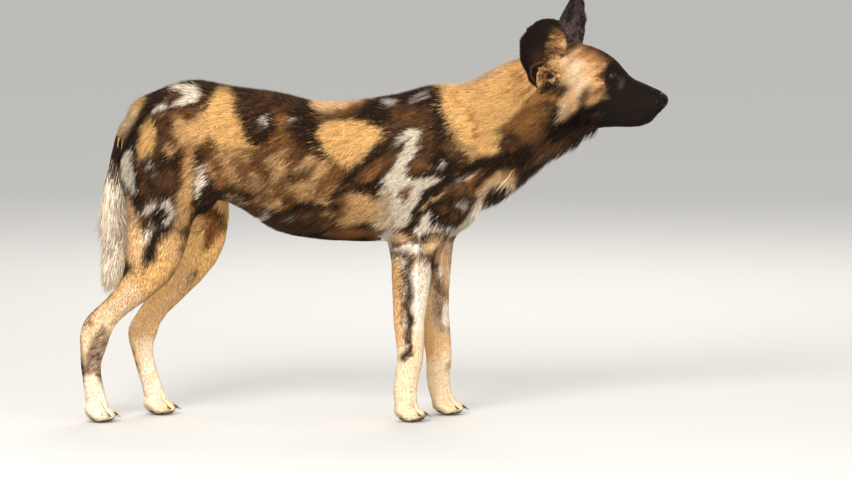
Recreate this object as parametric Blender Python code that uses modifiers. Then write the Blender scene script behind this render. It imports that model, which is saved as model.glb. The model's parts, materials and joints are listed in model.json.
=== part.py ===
# African wild dog, life size, standing square with its head turned a little to its right.
# Metres. +X is towards the nose, +Z is up, the floor is Z = 0, and the right side is -Y.
import math
import random

import bmesh
import bpy
from mathutils import Matrix, Vector
from mathutils.bvhtree import BVHTree

# Driving dimensions
GAP = 0.0003  # between pieces that touch
VOXEL = 0.0035  # grain at which the flesh grows together
HEAD_PIVOT = Vector((0.360, 0.0, 0.655))  # where the head turns on the neck
HEAD_YAW = math.radians(-12)  # towards the right side
HEAD_ROLL = math.radians(4)  # left ear higher

FACE_SOFTNESS = 0.09  # of the body's smoothing
SMOOTHINGS = 130
SHRINK = 0.0016  # what the smoothing takes off a leg
MERGE = 0.00002
HEAD_SHARE = 0.036  # of the grown flesh's faces kept for each part
LEG_SHARE = 0.023
TRUNK_SHARE = 0.016

# Trunk, as upright sections: place along X, top, underside, level of the widest point, half width
TRUNK = [
    (-0.494, 0.602, 0.516, 0.550, 0.032),
    (-0.483, 0.627, 0.468, 0.545, 0.054),
    (-0.466, 0.641, 0.446, 0.548, 0.069),
    (-0.436, 0.653, 0.432, 0.552, 0.080),
    (-0.396, 0.670, 0.428, 0.555, 0.085),
    (-0.350, 0.678, 0.430, 0.555, 0.083),
    (-0.302, 0.669, 0.434, 0.550, 0.077),
    (-0.256, 0.662, 0.416, 0.545, 0.075),
    (-0.186, 0.652, 0.374, 0.525, 0.087),
    (-0.106, 0.633, 0.357, 0.505, 0.099),
    (-0.026, 0.637, 0.353, 0.500, 0.104),
    (0.054, 0.650, 0.350, 0.500, 0.100),
    (0.114, 0.667, 0.350, 0.500, 0.091),
    (0.164, 0.671, 0.364, 0.505, 0.079),
    (0.206, 0.655, 0.396, 0.510, 0.064),
    (0.228, 0.600, 0.436, 0.515, 0.038),
]
# Neck, as sections square to its line: centre, half depth, half width
NECK = [
    ((0.154, 0.0, 0.534), 0.130, 0.079),
    ((0.208, 0.0, 0.553), 0.121, 0.075),
    ((0.260, 0.0, 0.586), 0.110, 0.073),
    ((0.307, -0.001, 0.616), 0.105, 0.072),
    ((0.347, -0.003, 0.633), 0.100, 0.073),
    ((0.385, -0.006, 0.651), 0.092, 0.072),
]
# Head before it is turned, as upright sections, like the trunk's
HEAD = [
    (0.338, 0.728, 0.590, 0.660, 0.056),
    (0.370, 0.747, 0.574, 0.655, 0.071),
    (0.404, 0.753, 0.574, 0.650, 0.075),
    (0.435, 0.746, 0.580, 0.645, 0.070),
    (0.460, 0.736, 0.584, 0.643, 0.060),
    (0.483, 0.722, 0.585, 0.640, 0.050),
    (0.501, 0.703, 0.585, 0.634, 0.042),
    (0.519, 0.684, 0.585, 0.628, 0.0375),
    (0.542, 0.674, 0.588, 0.626, 0.0355),
    (0.562, 0.665, 0.600, 0.628, 0.032),
    (0.578, 0.658, 0.618, 0.634, 0.025),
    (0.590, 0.646, 0.627, 0.636, 0.013),
]
# Legs from the top down: centre, half size fore and aft, half size across
LEGS = {
    "hindleg_right": [
        ((-0.414, -0.045, 0.582), 0.066, 0.040),
        ((-0.428, -0.058, 0.510), 0.078, 0.046),
        ((-0.422, -0.066, 0.440), 0.073, 0.043),
        ((-0.430, -0.070, 0.370), 0.065, 0.037),
        ((-0.444, -0.070, 0.316), 0.056, 0.032),
        ((-0.466, -0.068, 0.276), 0.040, 0.026),
        ((-0.500, -0.066, 0.240), 0.0295, 0.022),
        ((-0.528, -0.065, 0.214), 0.028, 0.020),
        ((-0.551, -0.064, 0.184), 0.033, 0.020),
        ((-0.558, -0.064, 0.150), 0.029, 0.018),
        ((-0.563, -0.065, 0.110), 0.021, 0.0165),
        ((-0.558, -0.066, 0.070), 0.0195, 0.017),
        ((-0.552, -0.067, 0.040), 0.021, 0.020),
        ((-0.546, -0.067, 0.020), 0.020, 0.022),
    ],
    "hindleg_left": [
        ((-0.402, 0.045, 0.572), 0.066, 0.040),
        ((-0.382, 0.058, 0.498), 0.070, 0.046),
        ((-0.354, 0.066, 0.428), 0.067, 0.043),
        ((-0.348, 0.070, 0.358), 0.056, 0.036),
        ((-0.370, 0.070, 0.304), 0.046, 0.030),
        ((-0.404, 0.069, 0.254), 0.034, 0.025),
        ((-0.432, 0.068, 0.220), 0.029, 0.022),
        ((-0.450, 0.067, 0.194), 0.028, 0.020),
        ((-0.464, 0.066, 0.164), 0.032, 0.020),
        ((-0.464, 0.066, 0.130), 0.023, 0.018),
        ((-0.456, 0.066, 0.094), 0.020, 0.0165),
        ((-0.446, 0.067, 0.060), 0.0195, 0.017),
        ((-0.438, 0.067, 0.034), 0.021, 0.020),
        ((-0.432, 0.067, 0.018), 0.020, 0.022),
    ],
    "foreleg_right": [
        ((0.110, -0.052, 0.430), 0.060, 0.040),
        ((0.082, -0.062, 0.360), 0.054, 0.038),
        ((0.081, -0.064, 0.326), 0.046, 0.034),
        ((0.077, -0.064, 0.290), 0.041, 0.031),
        ((0.074, -0.063, 0.240), 0.037, 0.0260),
        ((0.072, -0.062, 0.190), 0.0325, 0.0230),
        ((0.075, -0.061, 0.150), 0.029, 0.0220),
        ((0.074, -0.060, 0.120), 0.027, 0.0220),
        ((0.068, -0.060, 0.088), 0.0245, 0.0190),
        ((0.064, -0.061, 0.060), 0.0235, 0.0190),
        ((0.066, -0.062, 0.036), 0.023, 0.023),
        ((0.070, -0.062, 0.018), 0.021, 0.024),
    ],
    "foreleg_left": [
        ((0.124, 0.052, 0.424), 0.058, 0.040),
        ((0.114, 0.062, 0.348), 0.051, 0.037),
        ((0.116, 0.063, 0.314), 0.044, 0.034),
        ((0.117, 0.063, 0.278), 0.040, 0.031),
        ((0.118, 0.062, 0.228), 0.036, 0.0260),
        ((0.124, 0.061, 0.178), 0.032, 0.0230),
        ((0.130, 0.060, 0.138), 0.0285, 0.0220),
        ((0.132, 0.060, 0.108), 0.0265, 0.0220),
        ((0.130, 0.060, 0.076), 0.0235, 0.0190),
        ((0.134, 0.061, 0.048), 0.0225, 0.0190),
        ((0.142, 0.062, 0.022), 0.021, 0.023),
    ],
}

PAWS = {  # heel, toe tips, across
    "hindleg_right": (-0.583, -0.509, -0.067),
    "hindleg_left": (-0.470, -0.392, 0.067),
    "foreleg_right": (0.034, 0.110, -0.062),
    "foreleg_left": (0.110, 0.186, 0.062),
}
TOES = ((-0.0245, 0.80), (-0.0085, 0.98), (0.0085, 0.98), (0.0245, 0.80))
TOE_HALF = (0.0195, 0.0100, 0.0135)
# Forms under the skin of each side: centre, half sizes, turn in degrees, shift ahead on the left
MUSCLES = {
    "blade": ((0.110, 0.050, 0.540), (0.066, 0.040, 0.120), (0, 14, 0), 0.02),
    "point": ((0.158, 0.058, 0.455), (0.042, 0.032, 0.050), (0, 0, 0), 0.02),
    "upper_arm": ((0.112, 0.064, 0.405), (0.072, 0.034, 0.058), (0, -35, 0), 0.02),
    "elbow": ((0.046, 0.070, 0.345), (0.018, 0.016, 0.022), (0, 0, 0), 0.03),
    "haunch": ((-0.400, 0.046, 0.570), (0.090, 0.043, 0.085), (0, 20, 0), 0.0),
    "groin": ((-0.345, 0.055, 0.460), (0.048, 0.026, 0.052), (0, 30, 0), 0.02),
}
# Forms of each side of the face, before the head is turned
FACE = {
    "cheek": ((0.420, 0.040, 0.625), (0.058, 0.033, 0.044), (0, 10, 0)),
    "cheekbone": ((0.450, 0.040, 0.668), (0.046, 0.020, 0.018), (0, 15, -18)),
    "brow": ((0.476, 0.027, 0.706), (0.026, 0.0155, 0.0105), (0, 34, -24)),
    "ear_root": ((0.372, 0.050, 0.694), (0.036, 0.024, 0.038), (0, 0, 0)),
    "lip": ((0.530, 0.0255, 0.614), (0.046, 0.011, 0.016), (0, -6, -7)),
    "whisker_pad": ((0.562, 0.020, 0.626), (0.022, 0.011, 0.014), (0, 0, 0)),
}
SNOUT = {
    "nose_pad": ((0.579, 0.0, 0.642), (0.0165, 0.0175, 0.0135), (0, 25, 0)),
    "chin": ((0.543, 0.0, 0.600), (0.024, 0.019, 0.011), (0, -18, 0)),
}
# Tail: a root that belongs to the rump, then the core that the locks grow from
TAIL_ROOT = [
    ((-0.456, 0.0, 0.598), 0.024, 0.026),
    ((-0.478, 0.0, 0.592), 0.021, 0.022),
    ((-0.496, 0.0, 0.577), 0.018, 0.019),
    ((-0.505, 0.0, 0.552), 0.016, 0.017),
]
TAIL = [
    ((-0.5000, 0.0, 0.5665), 0.0168),
    ((-0.5070, 0.0, 0.540), 0.0150),
    ((-0.5130, 0.0, 0.505), 0.0135),
    ((-0.5175, 0.0, 0.460), 0.0132),
    ((-0.5185, 0.0, 0.410), 0.0128),
    ((-0.5185, 0.0, 0.360), 0.0105),
    ((-0.5210, 0.0, 0.320), 0.0060),
]
TAIL_ROWS = 7
TAIL_AROUND = 6
TAIL_LOCK = 0.082
TAIL_LOCK_WIDE = 0.025
TAIL_BUSH = 0.0175  # how far a lock's tip stands out from its root
TAIL_AHEAD = 0.33  # of the tail's length that a lock spans
TAIL_LOCKED = 0.93  # of the tail's length that locks are rooted in
TAIL_WIDER = 0.5
LOCK_THICK = 0.0056
LOCK_SHAPE = ((0.0, 0.80, 1.0), (0.40, 1.0, 1.0), (0.76, 0.70, 0.7))  # along, width, thickness
# Locks of the throat, on rays from a line inside the neck
RUFF_ROWS = 5
RUFF_ACROSS = 6
RUFF_SPREAD = 1.15  # radians to each side
RUFF_FROM = (0.255, 0.0, 0.565)
RUFF_TO = (0.372, -0.004, 0.640)
RUFF_LOCK = 0.058
RUFF_WIDE = 0.030
RUFF_LIFT = 0.016
RUFF_ROOT = 0.010
RUFF_DROOP = 0.010
RUFF_CLEAR = 0.0012  # from head and trunk
# Ears: half width and wrap (degrees) from foot to tip
EAR_HALF = (
    (0.0, 0.030),
    (0.2, 0.043),
    (0.5, 0.0535),
    (0.72, 0.0505),
    (0.88, 0.0370),
    (0.96, 0.023),
    (1.0, 0.010),
)
EAR_WRAP = ((0.0, 118), (0.3, 88), (0.6, 58), (1.0, 30))
EAR_THICK = 0.0042
EAR_CURL = 0.006
EAR_ROWS = 10
EAR_ACROSS = 8
EARS = {  # foot, tip, way it opens
    "ear_right": ((0.352, -0.042, 0.680), (0.337, -0.094, 0.807), (0.06, -1.0, -0.10)),
    "ear_left": ((0.352, 0.042, 0.700), (0.408, 0.080, 0.860), (0.97, 0.24, -0.10)),
}
# Eyes, in the head before it is turned
EYE = (0.4835, 0.0300, 0.6915)
EYE_DEPTH = 0.0075  # from the skin in to the middle of the ball
EYE_LOOK = (0.62, 0.78, 0.12)
EYE_RADIUS = 0.0112
LID_OPEN = (0.0088, 0.0058)
LID_OUTER = 0.0135
LID_STEPS = 14
# Line of the mouth: where it turns round the front, its corner, its level and its rise under the nose
MOUTH_BEND = 0.557
MOUTH_CORNER = (0.470, 0.6075)
MOUTH_LEVEL = 0.6085
MOUTH_RISE = 0.008
MOUTH_FRONT = 0.35  # share of each half that lies in front
MOUTH_STEPS = 12
MOUTH_DEEP = 0.0045
MOUTH_HIGH = 0.0011
NOSTRIL = (0.5865, 0.0095, 0.6425)
NOSTRIL_HALF = (0.008, 0.0034, 0.0042)
# Where the nodes part: place, way towards the part that is taken, depth, half width, half height
CUTS = {
    "head": ((0.350, -0.003, 0.665), (0.87, -0.09, 0.48), 0.40, 0.16, 0.20),
    "neck": ((0.214, 0.0, 0.553), (0.86, 0.0, 0.51), 0.30, 0.16, 0.17),
    "tail": ((-0.5000, 0.0, 0.5665), (-0.36, 0.0, -0.93), 0.06, 0.022, 0.026),
    "foreleg_right": ((0.080, -0.064, 0.345), (0.0, 0.0, -1.0), 0.40, 0.063, 0.14),
    "foreleg_left": ((0.116, 0.064, 0.345), (0.0, 0.0, -1.0), 0.40, 0.063, 0.14),
    "hindleg_right": ((-0.460, -0.080, 0.405), (0.0, 0.0, -1.0), 0.45, 0.078, 0.16),
    "hindleg_left": ((-0.400, 0.080, 0.405), (0.0, 0.0, -1.0), 0.45, 0.078, 0.14),
}
LEG_NAMES = ("hindleg_right", "hindleg_left", "foreleg_right", "foreleg_left")
TAN = (0.42, 0.24, 0.09)
DARK = (0.045, 0.028, 0.018)
WHITE = (0.72, 0.66, 0.56)


def clear_scene():
    for obj in list(bpy.data.objects):
        bpy.data.objects.remove(obj, do_unlink=True)


def link(mesh, name):
    obj = bpy.data.objects.new(name, mesh)
    bpy.context.scene.collection.objects.link(obj)
    return obj


def even_out(stations, steps):
    """Stations with `steps` smooth steps between each two, by Catmull-Rom."""
    rows = [[*flat(s)] for s in stations]
    first = [2 * a - b for a, b in zip(rows[0], rows[1])]
    last = [2 * a - b for a, b in zip(rows[-1], rows[-2])]
    rows = [first, *rows, last]
    out = []
    for i in range(1, len(rows) - 2):
        for k in range(steps):
            t = k / steps
            out.append([
                0.5 * (2 * b + (c - a) * t + (2 * a - 5 * b + 4 * c - d) * t * t
                       + (3 * b - a - 3 * c + d) * t ** 3)
                for a, b, c, d in zip(rows[i - 1], rows[i], rows[i + 1], rows[i + 2])
            ])
    out.append(rows[-2])
    return out


def flat(station):
    for value in station:
        if isinstance(value, tuple):
            yield from value
        else:
            yield value


def power(value, n):
    return math.copysign(abs(value) ** (2 / n), value)


def loft(name, rings):
    mesh = bpy.data.meshes.new(name)
    bm = bmesh.new()
    loops = [[bm.verts.new(p) for p in ring] for ring in rings]
    count = len(rings[0])
    for a, b in zip(loops, loops[1:]):
        for i in range(count):
            bm.faces.new((a[i], a[(i + 1) % count], b[(i + 1) % count], b[i]))
    bm.faces.new(loops[0][::-1])
    bm.faces.new(loops[-1])
    bmesh.ops.recalc_face_normals(bm, faces=bm.faces)
    bm.to_mesh(mesh)
    bm.free()
    return link(mesh, name)


def upright_loft(name, stations, around=36, fullness=2.2):
    rings = []
    for x, top, bottom, widest, half in even_out(stations, 4):
        ring = []
        for i in range(around):
            angle = math.tau * i / around
            across, up = power(math.cos(angle), fullness), power(math.sin(angle), fullness)
            reach = top - widest if up > 0 else widest - bottom
            ring.append((x, half * across, widest + reach * up))
        rings.append(ring)
    return loft(name, rings)


def limb_loft(name, stations, around=28, fullness=2.15, steps=4):
    rows = even_out(stations, steps)
    centres = [Vector(r[:3]) for r in rows]
    rings = []
    for i, (centre, row) in enumerate(zip(centres, rows)):
        along = (centres[min(i + 1, len(rows) - 1)] - centres[max(i - 1, 0)]).normalized()
        across = (Vector((0, 1, 0)) - along * along.y).normalized()
        fore = across.cross(along)
        ring = []
        for k in range(around):
            angle = math.tau * k / around
            ring.append(centre + fore * row[3] * power(math.sin(angle), fullness)
                        + across * row[4] * power(math.cos(angle), fullness))
        rings.append(ring)
    return loft(name, rings)


def ball(name, centre, half, turn=(0, 0, 0), segments=20):
    """An ellipsoid with three half sizes, turned by degrees about X, Y and Z."""
    mesh = bpy.data.meshes.new(name)
    bm = bmesh.new()
    bmesh.ops.create_uvsphere(bm, u_segments=segments, v_segments=segments // 2 + 2, radius=1)
    spin = Matrix.Identity(4)
    for angle, axis in zip(turn, "XYZ"):
        spin = Matrix.Rotation(math.radians(angle), 4, axis) @ spin
    bm.transform(Matrix.Translation(centre) @ spin @ Matrix.Diagonal((*half, 1)))
    bm.to_mesh(mesh)
    bm.free()
    return link(mesh, name)


def head_turn():
    there = Matrix.Translation(HEAD_PIVOT)
    back = Matrix.Translation(-HEAD_PIVOT)
    return there @ Matrix.Rotation(HEAD_YAW, 4, "Z") @ Matrix.Rotation(HEAD_ROLL, 4, "X") @ back


def paw(heel, toe, y):
    """Palm and four toes between two places along X, all a little below the floor."""
    length = toe - heel
    pieces = [ball("palm", (heel + 0.44 * length, y, 0.021), (0.37 * length, 0.0245, 0.023))]
    for across, reach in TOES:
        x = heel + reach * length - TOE_HALF[0]
        pieces.append(ball("toe", (x, y + across, 0.0115), TOE_HALF))
        pieces.append(ball("knuckle", (x - 0.012, y + across * 0.9, 0.020), (0.017, 0.0095, 0.013)))
    return pieces


def body_pieces():
    pieces = [upright_loft("trunk", TRUNK), limb_loft("neck", NECK), limb_loft("tail_root", TAIL_ROOT)]
    for stations in LEGS.values():
        fuller = [(spot, fore + SHRINK, across + SHRINK) for spot, fore, across in stations]
        pieces.append(limb_loft("leg", fuller))
    for heel, toe, y in PAWS.values():
        pieces += paw(heel, toe, y)
    for side in (-1, 1):
        for name, (centre, half, turn, ahead) in MUSCLES.items():
            x = centre[0] + (ahead if side > 0 else 0.0)
            pieces.append(ball(name, (x, centre[1] * side, centre[2]), half, turn))
    return pieces


def head_pieces():
    pieces = [upright_loft("head", HEAD, fullness=2.3)]
    for side in (-1, 1):
        for name, (centre, half, turn) in FACE.items():
            spot = (centre[0], centre[1] * side, centre[2])
            pieces.append(ball(name, spot, half, (turn[0], turn[1], turn[2] * side)))
    pieces += [ball(name, *form) for name, form in SNOUT.items()]
    for piece in pieces:
        piece.data.transform(head_turn())
    return pieces


def link_mesh(bm, name):
    mesh = bpy.data.meshes.new(name)
    bm.to_mesh(mesh)
    bm.free()
    return link(mesh, name)


def joined(name, pieces):
    bm = bmesh.new()
    for piece in pieces:
        bm.from_mesh(piece.data)
        bpy.data.objects.remove(piece)
    return link_mesh(bm, name)


def applied(obj):
    """The object's mesh with its modifiers taken in."""
    graph = bpy.context.evaluated_depsgraph_get()
    mesh = bpy.data.meshes.new_from_object(obj.evaluated_get(graph))
    name = obj.name
    bpy.data.objects.remove(obj)
    return link(mesh, name)


def softness(x, z):
    """How much the grown flesh is smoothed: least at the face and feet."""
    body = min(1.0, max(0.0, (0.42 - x) / 0.08))
    skull = 0.30 * min(1.0, max(0.0, (0.50 - x) / 0.05))
    body = max(body, skull) * min(1.0, max(0.0, (z - 0.06) / 0.14))
    return FACE_SOFTNESS + (1 - FACE_SOFTNESS) * body


def grown_together(pieces):
    obj = joined("flesh", pieces)
    remesh = obj.modifiers.new("grow", "REMESH")
    remesh.mode = "VOXEL"
    remesh.voxel_size = VOXEL
    obj = applied(obj)
    group = obj.vertex_groups.new(name="soft")
    for v in obj.data.vertices:
        group.add([v.index], softness(v.co.x, v.co.z), "REPLACE")
    smooth = obj.modifiers.new("soften", "SMOOTH")
    smooth.factor = 0.5
    smooth.iterations = SMOOTHINGS
    smooth.vertex_group = "soft"
    return applied(obj)


def thinned(obj, name, share):
    copy = obj.copy()
    copy.data = obj.data.copy()
    bpy.context.scene.collection.objects.link(copy)
    copy.name = name
    cut = copy.modifiers.new("thin", "DECIMATE")
    cut.ratio = share
    copy = applied(copy)
    copy.name = name
    return copy


def combined(obj, other, operation, solver="EXACT"):
    """Boolean of an object with one object or with a collection of them, which are then removed."""
    step = obj.modifiers.new("combine", "BOOLEAN")
    step.operation = operation
    step.solver = solver
    if isinstance(other, bpy.types.Collection):
        step.operand_type = "COLLECTION"
        step.collection = other
        spent = list(other.objects)
    else:
        step.object = other
        spent = [other]
    name = obj.name
    obj = applied(obj)
    obj.name = name
    for used in spent:
        bpy.data.objects.remove(used)
    return largest(obj)


def largest(obj):
    """Keeps only the largest closed surface, without slivers."""
    bm = bmesh.new()
    bm.from_mesh(obj.data)
    bmesh.ops.remove_doubles(bm, verts=bm.verts, dist=MERGE)
    bmesh.ops.dissolve_degenerate(bm, edges=bm.edges, dist=MERGE)
    seen = set()
    best = []
    for start in bm.faces:
        if start in seen:
            continue
        seen.add(start)
        shell = [start]
        for face in shell:
            for edge in face.edges:
                for near in edge.link_faces:
                    if near not in seen:
                        seen.add(near)
                        shell.append(near)
        if len(shell) > len(best):
            best = shell
    keep = set(best)
    bmesh.ops.delete(bm, geom=[f for f in bm.faces if f not in keep], context="FACES")
    bmesh.ops.triangulate(bm, faces=bm.faces)
    bm.to_mesh(obj.data)
    bm.free()
    return obj


def block(centre, out, depth, half_width, half_height, back):
    """A box whose near face stands `back` behind the centre, square to `out`."""
    out = Vector(out).normalized()
    side = (Vector((0, 1, 0)) - out * out.y).normalized()
    up = out.cross(side)
    bm = bmesh.new()
    bmesh.ops.create_cube(bm, size=1)
    frame = Matrix((out, side, up)).transposed().to_4x4()
    middle = Vector(centre) + out * (depth - back) / 2
    size = Matrix.Diagonal((depth + back, 2 * half_width, 2 * half_height, 1))
    bm.transform(Matrix.Translation(middle) @ frame @ size)
    bmesh.ops.recalc_face_normals(bm, faces=bm.faces)
    return link_mesh(bm, "block")


def taken(source, name, cut):
    """The part of the flesh within a cut's block."""
    piece = source.copy()
    piece.data = source.data.copy()
    bpy.context.scene.collection.objects.link(piece)
    piece.name = name
    return combined(piece, block(*cut, -GAP / 2), "INTERSECT")


def trimmed(obj, cut):
    return combined(obj, block(*cut, GAP / 2), "DIFFERENCE")


def floor_cut(obj):
    """Flat soles, all at the level of the floor."""
    return combined(obj, block((0, 0, 0), (0, 0, -1), 0.1, 1, 1, 0), "DIFFERENCE")


def surface_of(objs):
    bm = bmesh.new()
    for obj in objs:
        bm.from_mesh(obj.data)
    tree = BVHTree.FromBMesh(bm)
    bm.free()
    return tree


def lock(root, along, out, length, width, lift, droop):
    """A flat lock that tapers, leaves its root along the lie, rises by `lift` and bends down by `droop`."""
    side = along.cross(out).normalized()
    rings = []
    for share, wide, thick in LOCK_SHAPE:
        middle = root + along * length * share + out * lift * share * (1.9 - 0.9 * share)
        middle += Vector((0, 0, -droop * share * share))
        rings.append([
            middle + side * width / 2 * wide,
            middle + out * LOCK_THICK / 2 * thick,
            middle - side * width / 2 * wide,
            middle - out * LOCK_THICK / 2 * thick,
        ])
    bm = bmesh.new()
    loops = [[bm.verts.new(p) for p in ring] for ring in rings]
    tip = bm.verts.new(root + along * length + out * lift + Vector((0, 0, -droop)))
    for a, b in zip(loops, loops[1:]):
        for i in range(4):
            bm.faces.new((a[i], a[(i + 1) % 4], b[(i + 1) % 4], b[i]))
    for i in range(4):
        bm.faces.new((loops[-1][i], loops[-1][(i + 1) % 4], tip))
    bm.faces.new(loops[0][::-1])
    bmesh.ops.recalc_face_normals(bm, faces=bm.faces)
    return link_mesh(bm, "lock")


def tail_line(share):
    """Middle of the tail, from its root at 0 to the last of the core at 1."""
    place = share * (len(TAIL) - 1)
    i = min(int(place), len(TAIL) - 2)
    a, b = TAIL[i], TAIL[i + 1]
    t = place - i
    return Vector([p + (q - p) * t for p, q in zip(a[0], b[0])]), a[1] + (b[1] - a[1]) * t


def tail_locks(rng):
    locks = []
    for row in range(TAIL_ROWS):
        share = (row + 0.5) / TAIL_ROWS
        middle, thick = tail_line(TAIL_LOCKED * share)
        ahead = tail_line(min(1.0, TAIL_AHEAD + TAIL_LOCKED * share))[0]
        along = (ahead - middle).normalized()
        fore = Vector((0, 1, 0)).cross(along).normalized()
        for k in range(TAIL_AROUND):
            angle = math.tau * (k + 0.5 * (row % 2)) / TAIL_AROUND + rng.uniform(-0.15, 0.15)
            out = fore * math.cos(angle) + Vector((0, 1, 0)) * math.sin(angle)
            root = middle + out * thick * 0.45
            bush = math.sin(math.pi * (0.10 + 0.80 * share))
            lift = TAIL_BUSH * bush * rng.uniform(0.8, 1.1) * (1 + TAIL_WIDER * abs(out.y))
            length = TAIL_LOCK * rng.uniform(0.85, 1.15)
            locks.append(lock(root, along, out, length, TAIL_LOCK_WIDE, lift, 0.0))
    return locks


def neck_locks(rng, core, others):
    """Locks of the throat, rooted in the underside and kept clear of head and trunk."""
    inside = surface_of([core])
    near = surface_of(others)
    locks = []
    for row in range(RUFF_ROWS):
        for k in range(RUFF_ACROSS):
            share = (row + 0.5) / RUFF_ROWS
            turn = (k + 0.5 + 0.5 * (row % 2)) / (RUFF_ACROSS + 0.5) * 2 - 1
            angle = RUFF_SPREAD * turn + rng.uniform(-0.06, 0.06)
            start = Vector(RUFF_FROM).lerp(Vector(RUFF_TO), share)
            ray = Vector((0.30 * math.cos(angle), math.sin(angle), -math.cos(angle))).normalized()
            spot, normal, _, _ = inside.ray_cast(start, ray)
            if spot is None:
                continue
            lie = Vector((-0.80, -0.10 * turn, -0.60))
            along = (lie - normal * lie.dot(normal)).normalized()
            length = RUFF_LOCK * rng.uniform(0.85, 1.15)
            lift = RUFF_LIFT * (1 - 0.55 * abs(turn)) * rng.uniform(0.8, 1.15)
            root = spot - normal * RUFF_ROOT - along * 0.2 * length
            piece = lock(root, along, normal, length, RUFF_WIDE, lift + RUFF_ROOT, RUFF_DROOP)
            if all(near.find_nearest(v.co)[3] > RUFF_CLEAR for v in piece.data.vertices):
                locks.append(piece)
            else:
                bpy.data.objects.remove(piece)
    return locks


def fused(obj, pieces, solver="EXACT"):
    group = bpy.data.collections.new("pieces")
    for piece in pieces:
        for home in list(piece.users_collection):
            home.objects.unlink(piece)
        group.objects.link(piece)
    obj = combined(obj, group, "UNION", solver)
    bpy.data.collections.remove(group)
    return obj


def swelled(obj, by):
    """A copy of a solid, moved out along its normals."""
    copy = obj.copy()
    copy.data = obj.data.copy()
    bpy.context.scene.collection.objects.link(copy)
    for v, normal in zip(copy.data.vertices, [n.vector.copy() for n in obj.data.vertex_normals]):
        v.co += normal * by
    return copy


def profile(table, u):
    for (u0, a), (u1, b) in zip(table, table[1:]):
        if u <= u1:
            t = (u - u0) / (u1 - u0)
            t = t * t * (3 - 2 * t)
            return a + (b - a) * t
    return table[-1][1]


def ear(name, base, tip, opening):
    """A thin cup from base to tip: an arc across at each level, that opens out towards the tip."""
    base, tip = Vector(base), Vector(tip)
    along = (tip - base).normalized()
    face = Vector(opening)
    face = (face - along * face.dot(along)).normalized()
    across = along.cross(face)
    length = (tip - base).length
    bm = bmesh.new()
    sheets = []
    for out in (-1, 1):
        rows = []
        for i in range(EAR_ROWS + 1):
            u = (i / EAR_ROWS) ** 0.85
            half = profile(EAR_HALF, u)
            wrap = math.radians(profile(EAR_WRAP, u))
            radius = half / math.sin(min(wrap, math.pi / 2))
            lean = face * EAR_CURL * math.sin(math.pi * u) * -1
            middle = base + along * length * u + lean
            thick = EAR_THICK * (1 - 0.35 * u)
            row = []
            for j in range(EAR_ACROSS + 1):
                angle = wrap * (2 * j / EAR_ACROSS - 1)
                reach = radius + out * thick / 2
                spot = middle + face * (radius - reach * math.cos(angle)) + across * reach * math.sin(angle)
                row.append(bm.verts.new(spot))
            rows.append(row)
        sheets.append(rows)
    inner, outer = sheets
    for rows in sheets:
        for a, b in zip(rows, rows[1:]):
            for j in range(EAR_ACROSS):
                bm.faces.new((a[j], a[j + 1], b[j + 1], b[j]))
    for i in range(EAR_ROWS):
        for j in (0, EAR_ACROSS):
            bm.faces.new((inner[i][j], outer[i][j], outer[i + 1][j], inner[i + 1][j]))
    for i in (0, EAR_ROWS):
        for j in range(EAR_ACROSS):
            bm.faces.new((inner[i][j], inner[i][j + 1], outer[i][j + 1], outer[i][j]))
    bmesh.ops.recalc_face_normals(bm, faces=bm.faces)
    return link_mesh(bm, name)


def ear_on(name, head, neck, base, tip, opening):
    """An ear whose foot follows the surface of head and neck, a gap away from them."""
    obj = ear(name, base, tip, opening)
    for skin in (head, neck):
        obj = combined(obj, swelled(skin, GAP * 1.2), "DIFFERENCE", "MANIFOLD")
    return obj


def head_point(x, y, z):
    return head_turn() @ Vector((x, y, z))


def eye_place(skin, side):
    """Middle of an eyeball and the way it looks, found from the skin in front of it."""
    look = head_turn().to_3x3() @ Vector((EYE_LOOK[0], EYE_LOOK[1] * side, EYE_LOOK[2])).normalized()
    start = head_point(EYE[0], EYE[1] * side, EYE[2]) + look * 0.1
    spot = skin.ray_cast(start, -look)[0]
    return spot - look * EYE_DEPTH, look


def lids(centre, look):
    """The two lids as one ring round the eyeball, with an almond opening."""
    up = head_turn().to_3x3() @ Vector((-0.20, 0, 1))
    up = (up - look * up.dot(look)).normalized()
    across = up.cross(look)
    bm = bmesh.new()
    loops = []
    for k in range(LID_STEPS):
        angle = math.tau * k / LID_STEPS
        wide, high = math.cos(angle), math.sin(angle)
        inner = math.hypot(LID_OPEN[0] * wide, LID_OPEN[1] * power(high, 1.6))
        ring = []
        for spread, reach in ((inner, -0.0012), (inner, 0.0008), (LID_OUTER, 0.0016), (LID_OUTER, -0.0030)):
            tilt = spread / EYE_RADIUS
            aim = look * math.cos(tilt) + (across * wide + up * high) * math.sin(tilt)
            ring.append(bm.verts.new(centre + aim * (EYE_RADIUS + reach)))
        loops.append(ring)
    for a, b in zip(loops, loops[1:] + loops[:1]):
        for i in range(4):
            bm.faces.new((a[i], a[(i + 1) % 4], b[(i + 1) % 4], b[i]))
    bmesh.ops.recalc_face_normals(bm, faces=bm.faces)
    return link_mesh(bm, "lids")


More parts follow.
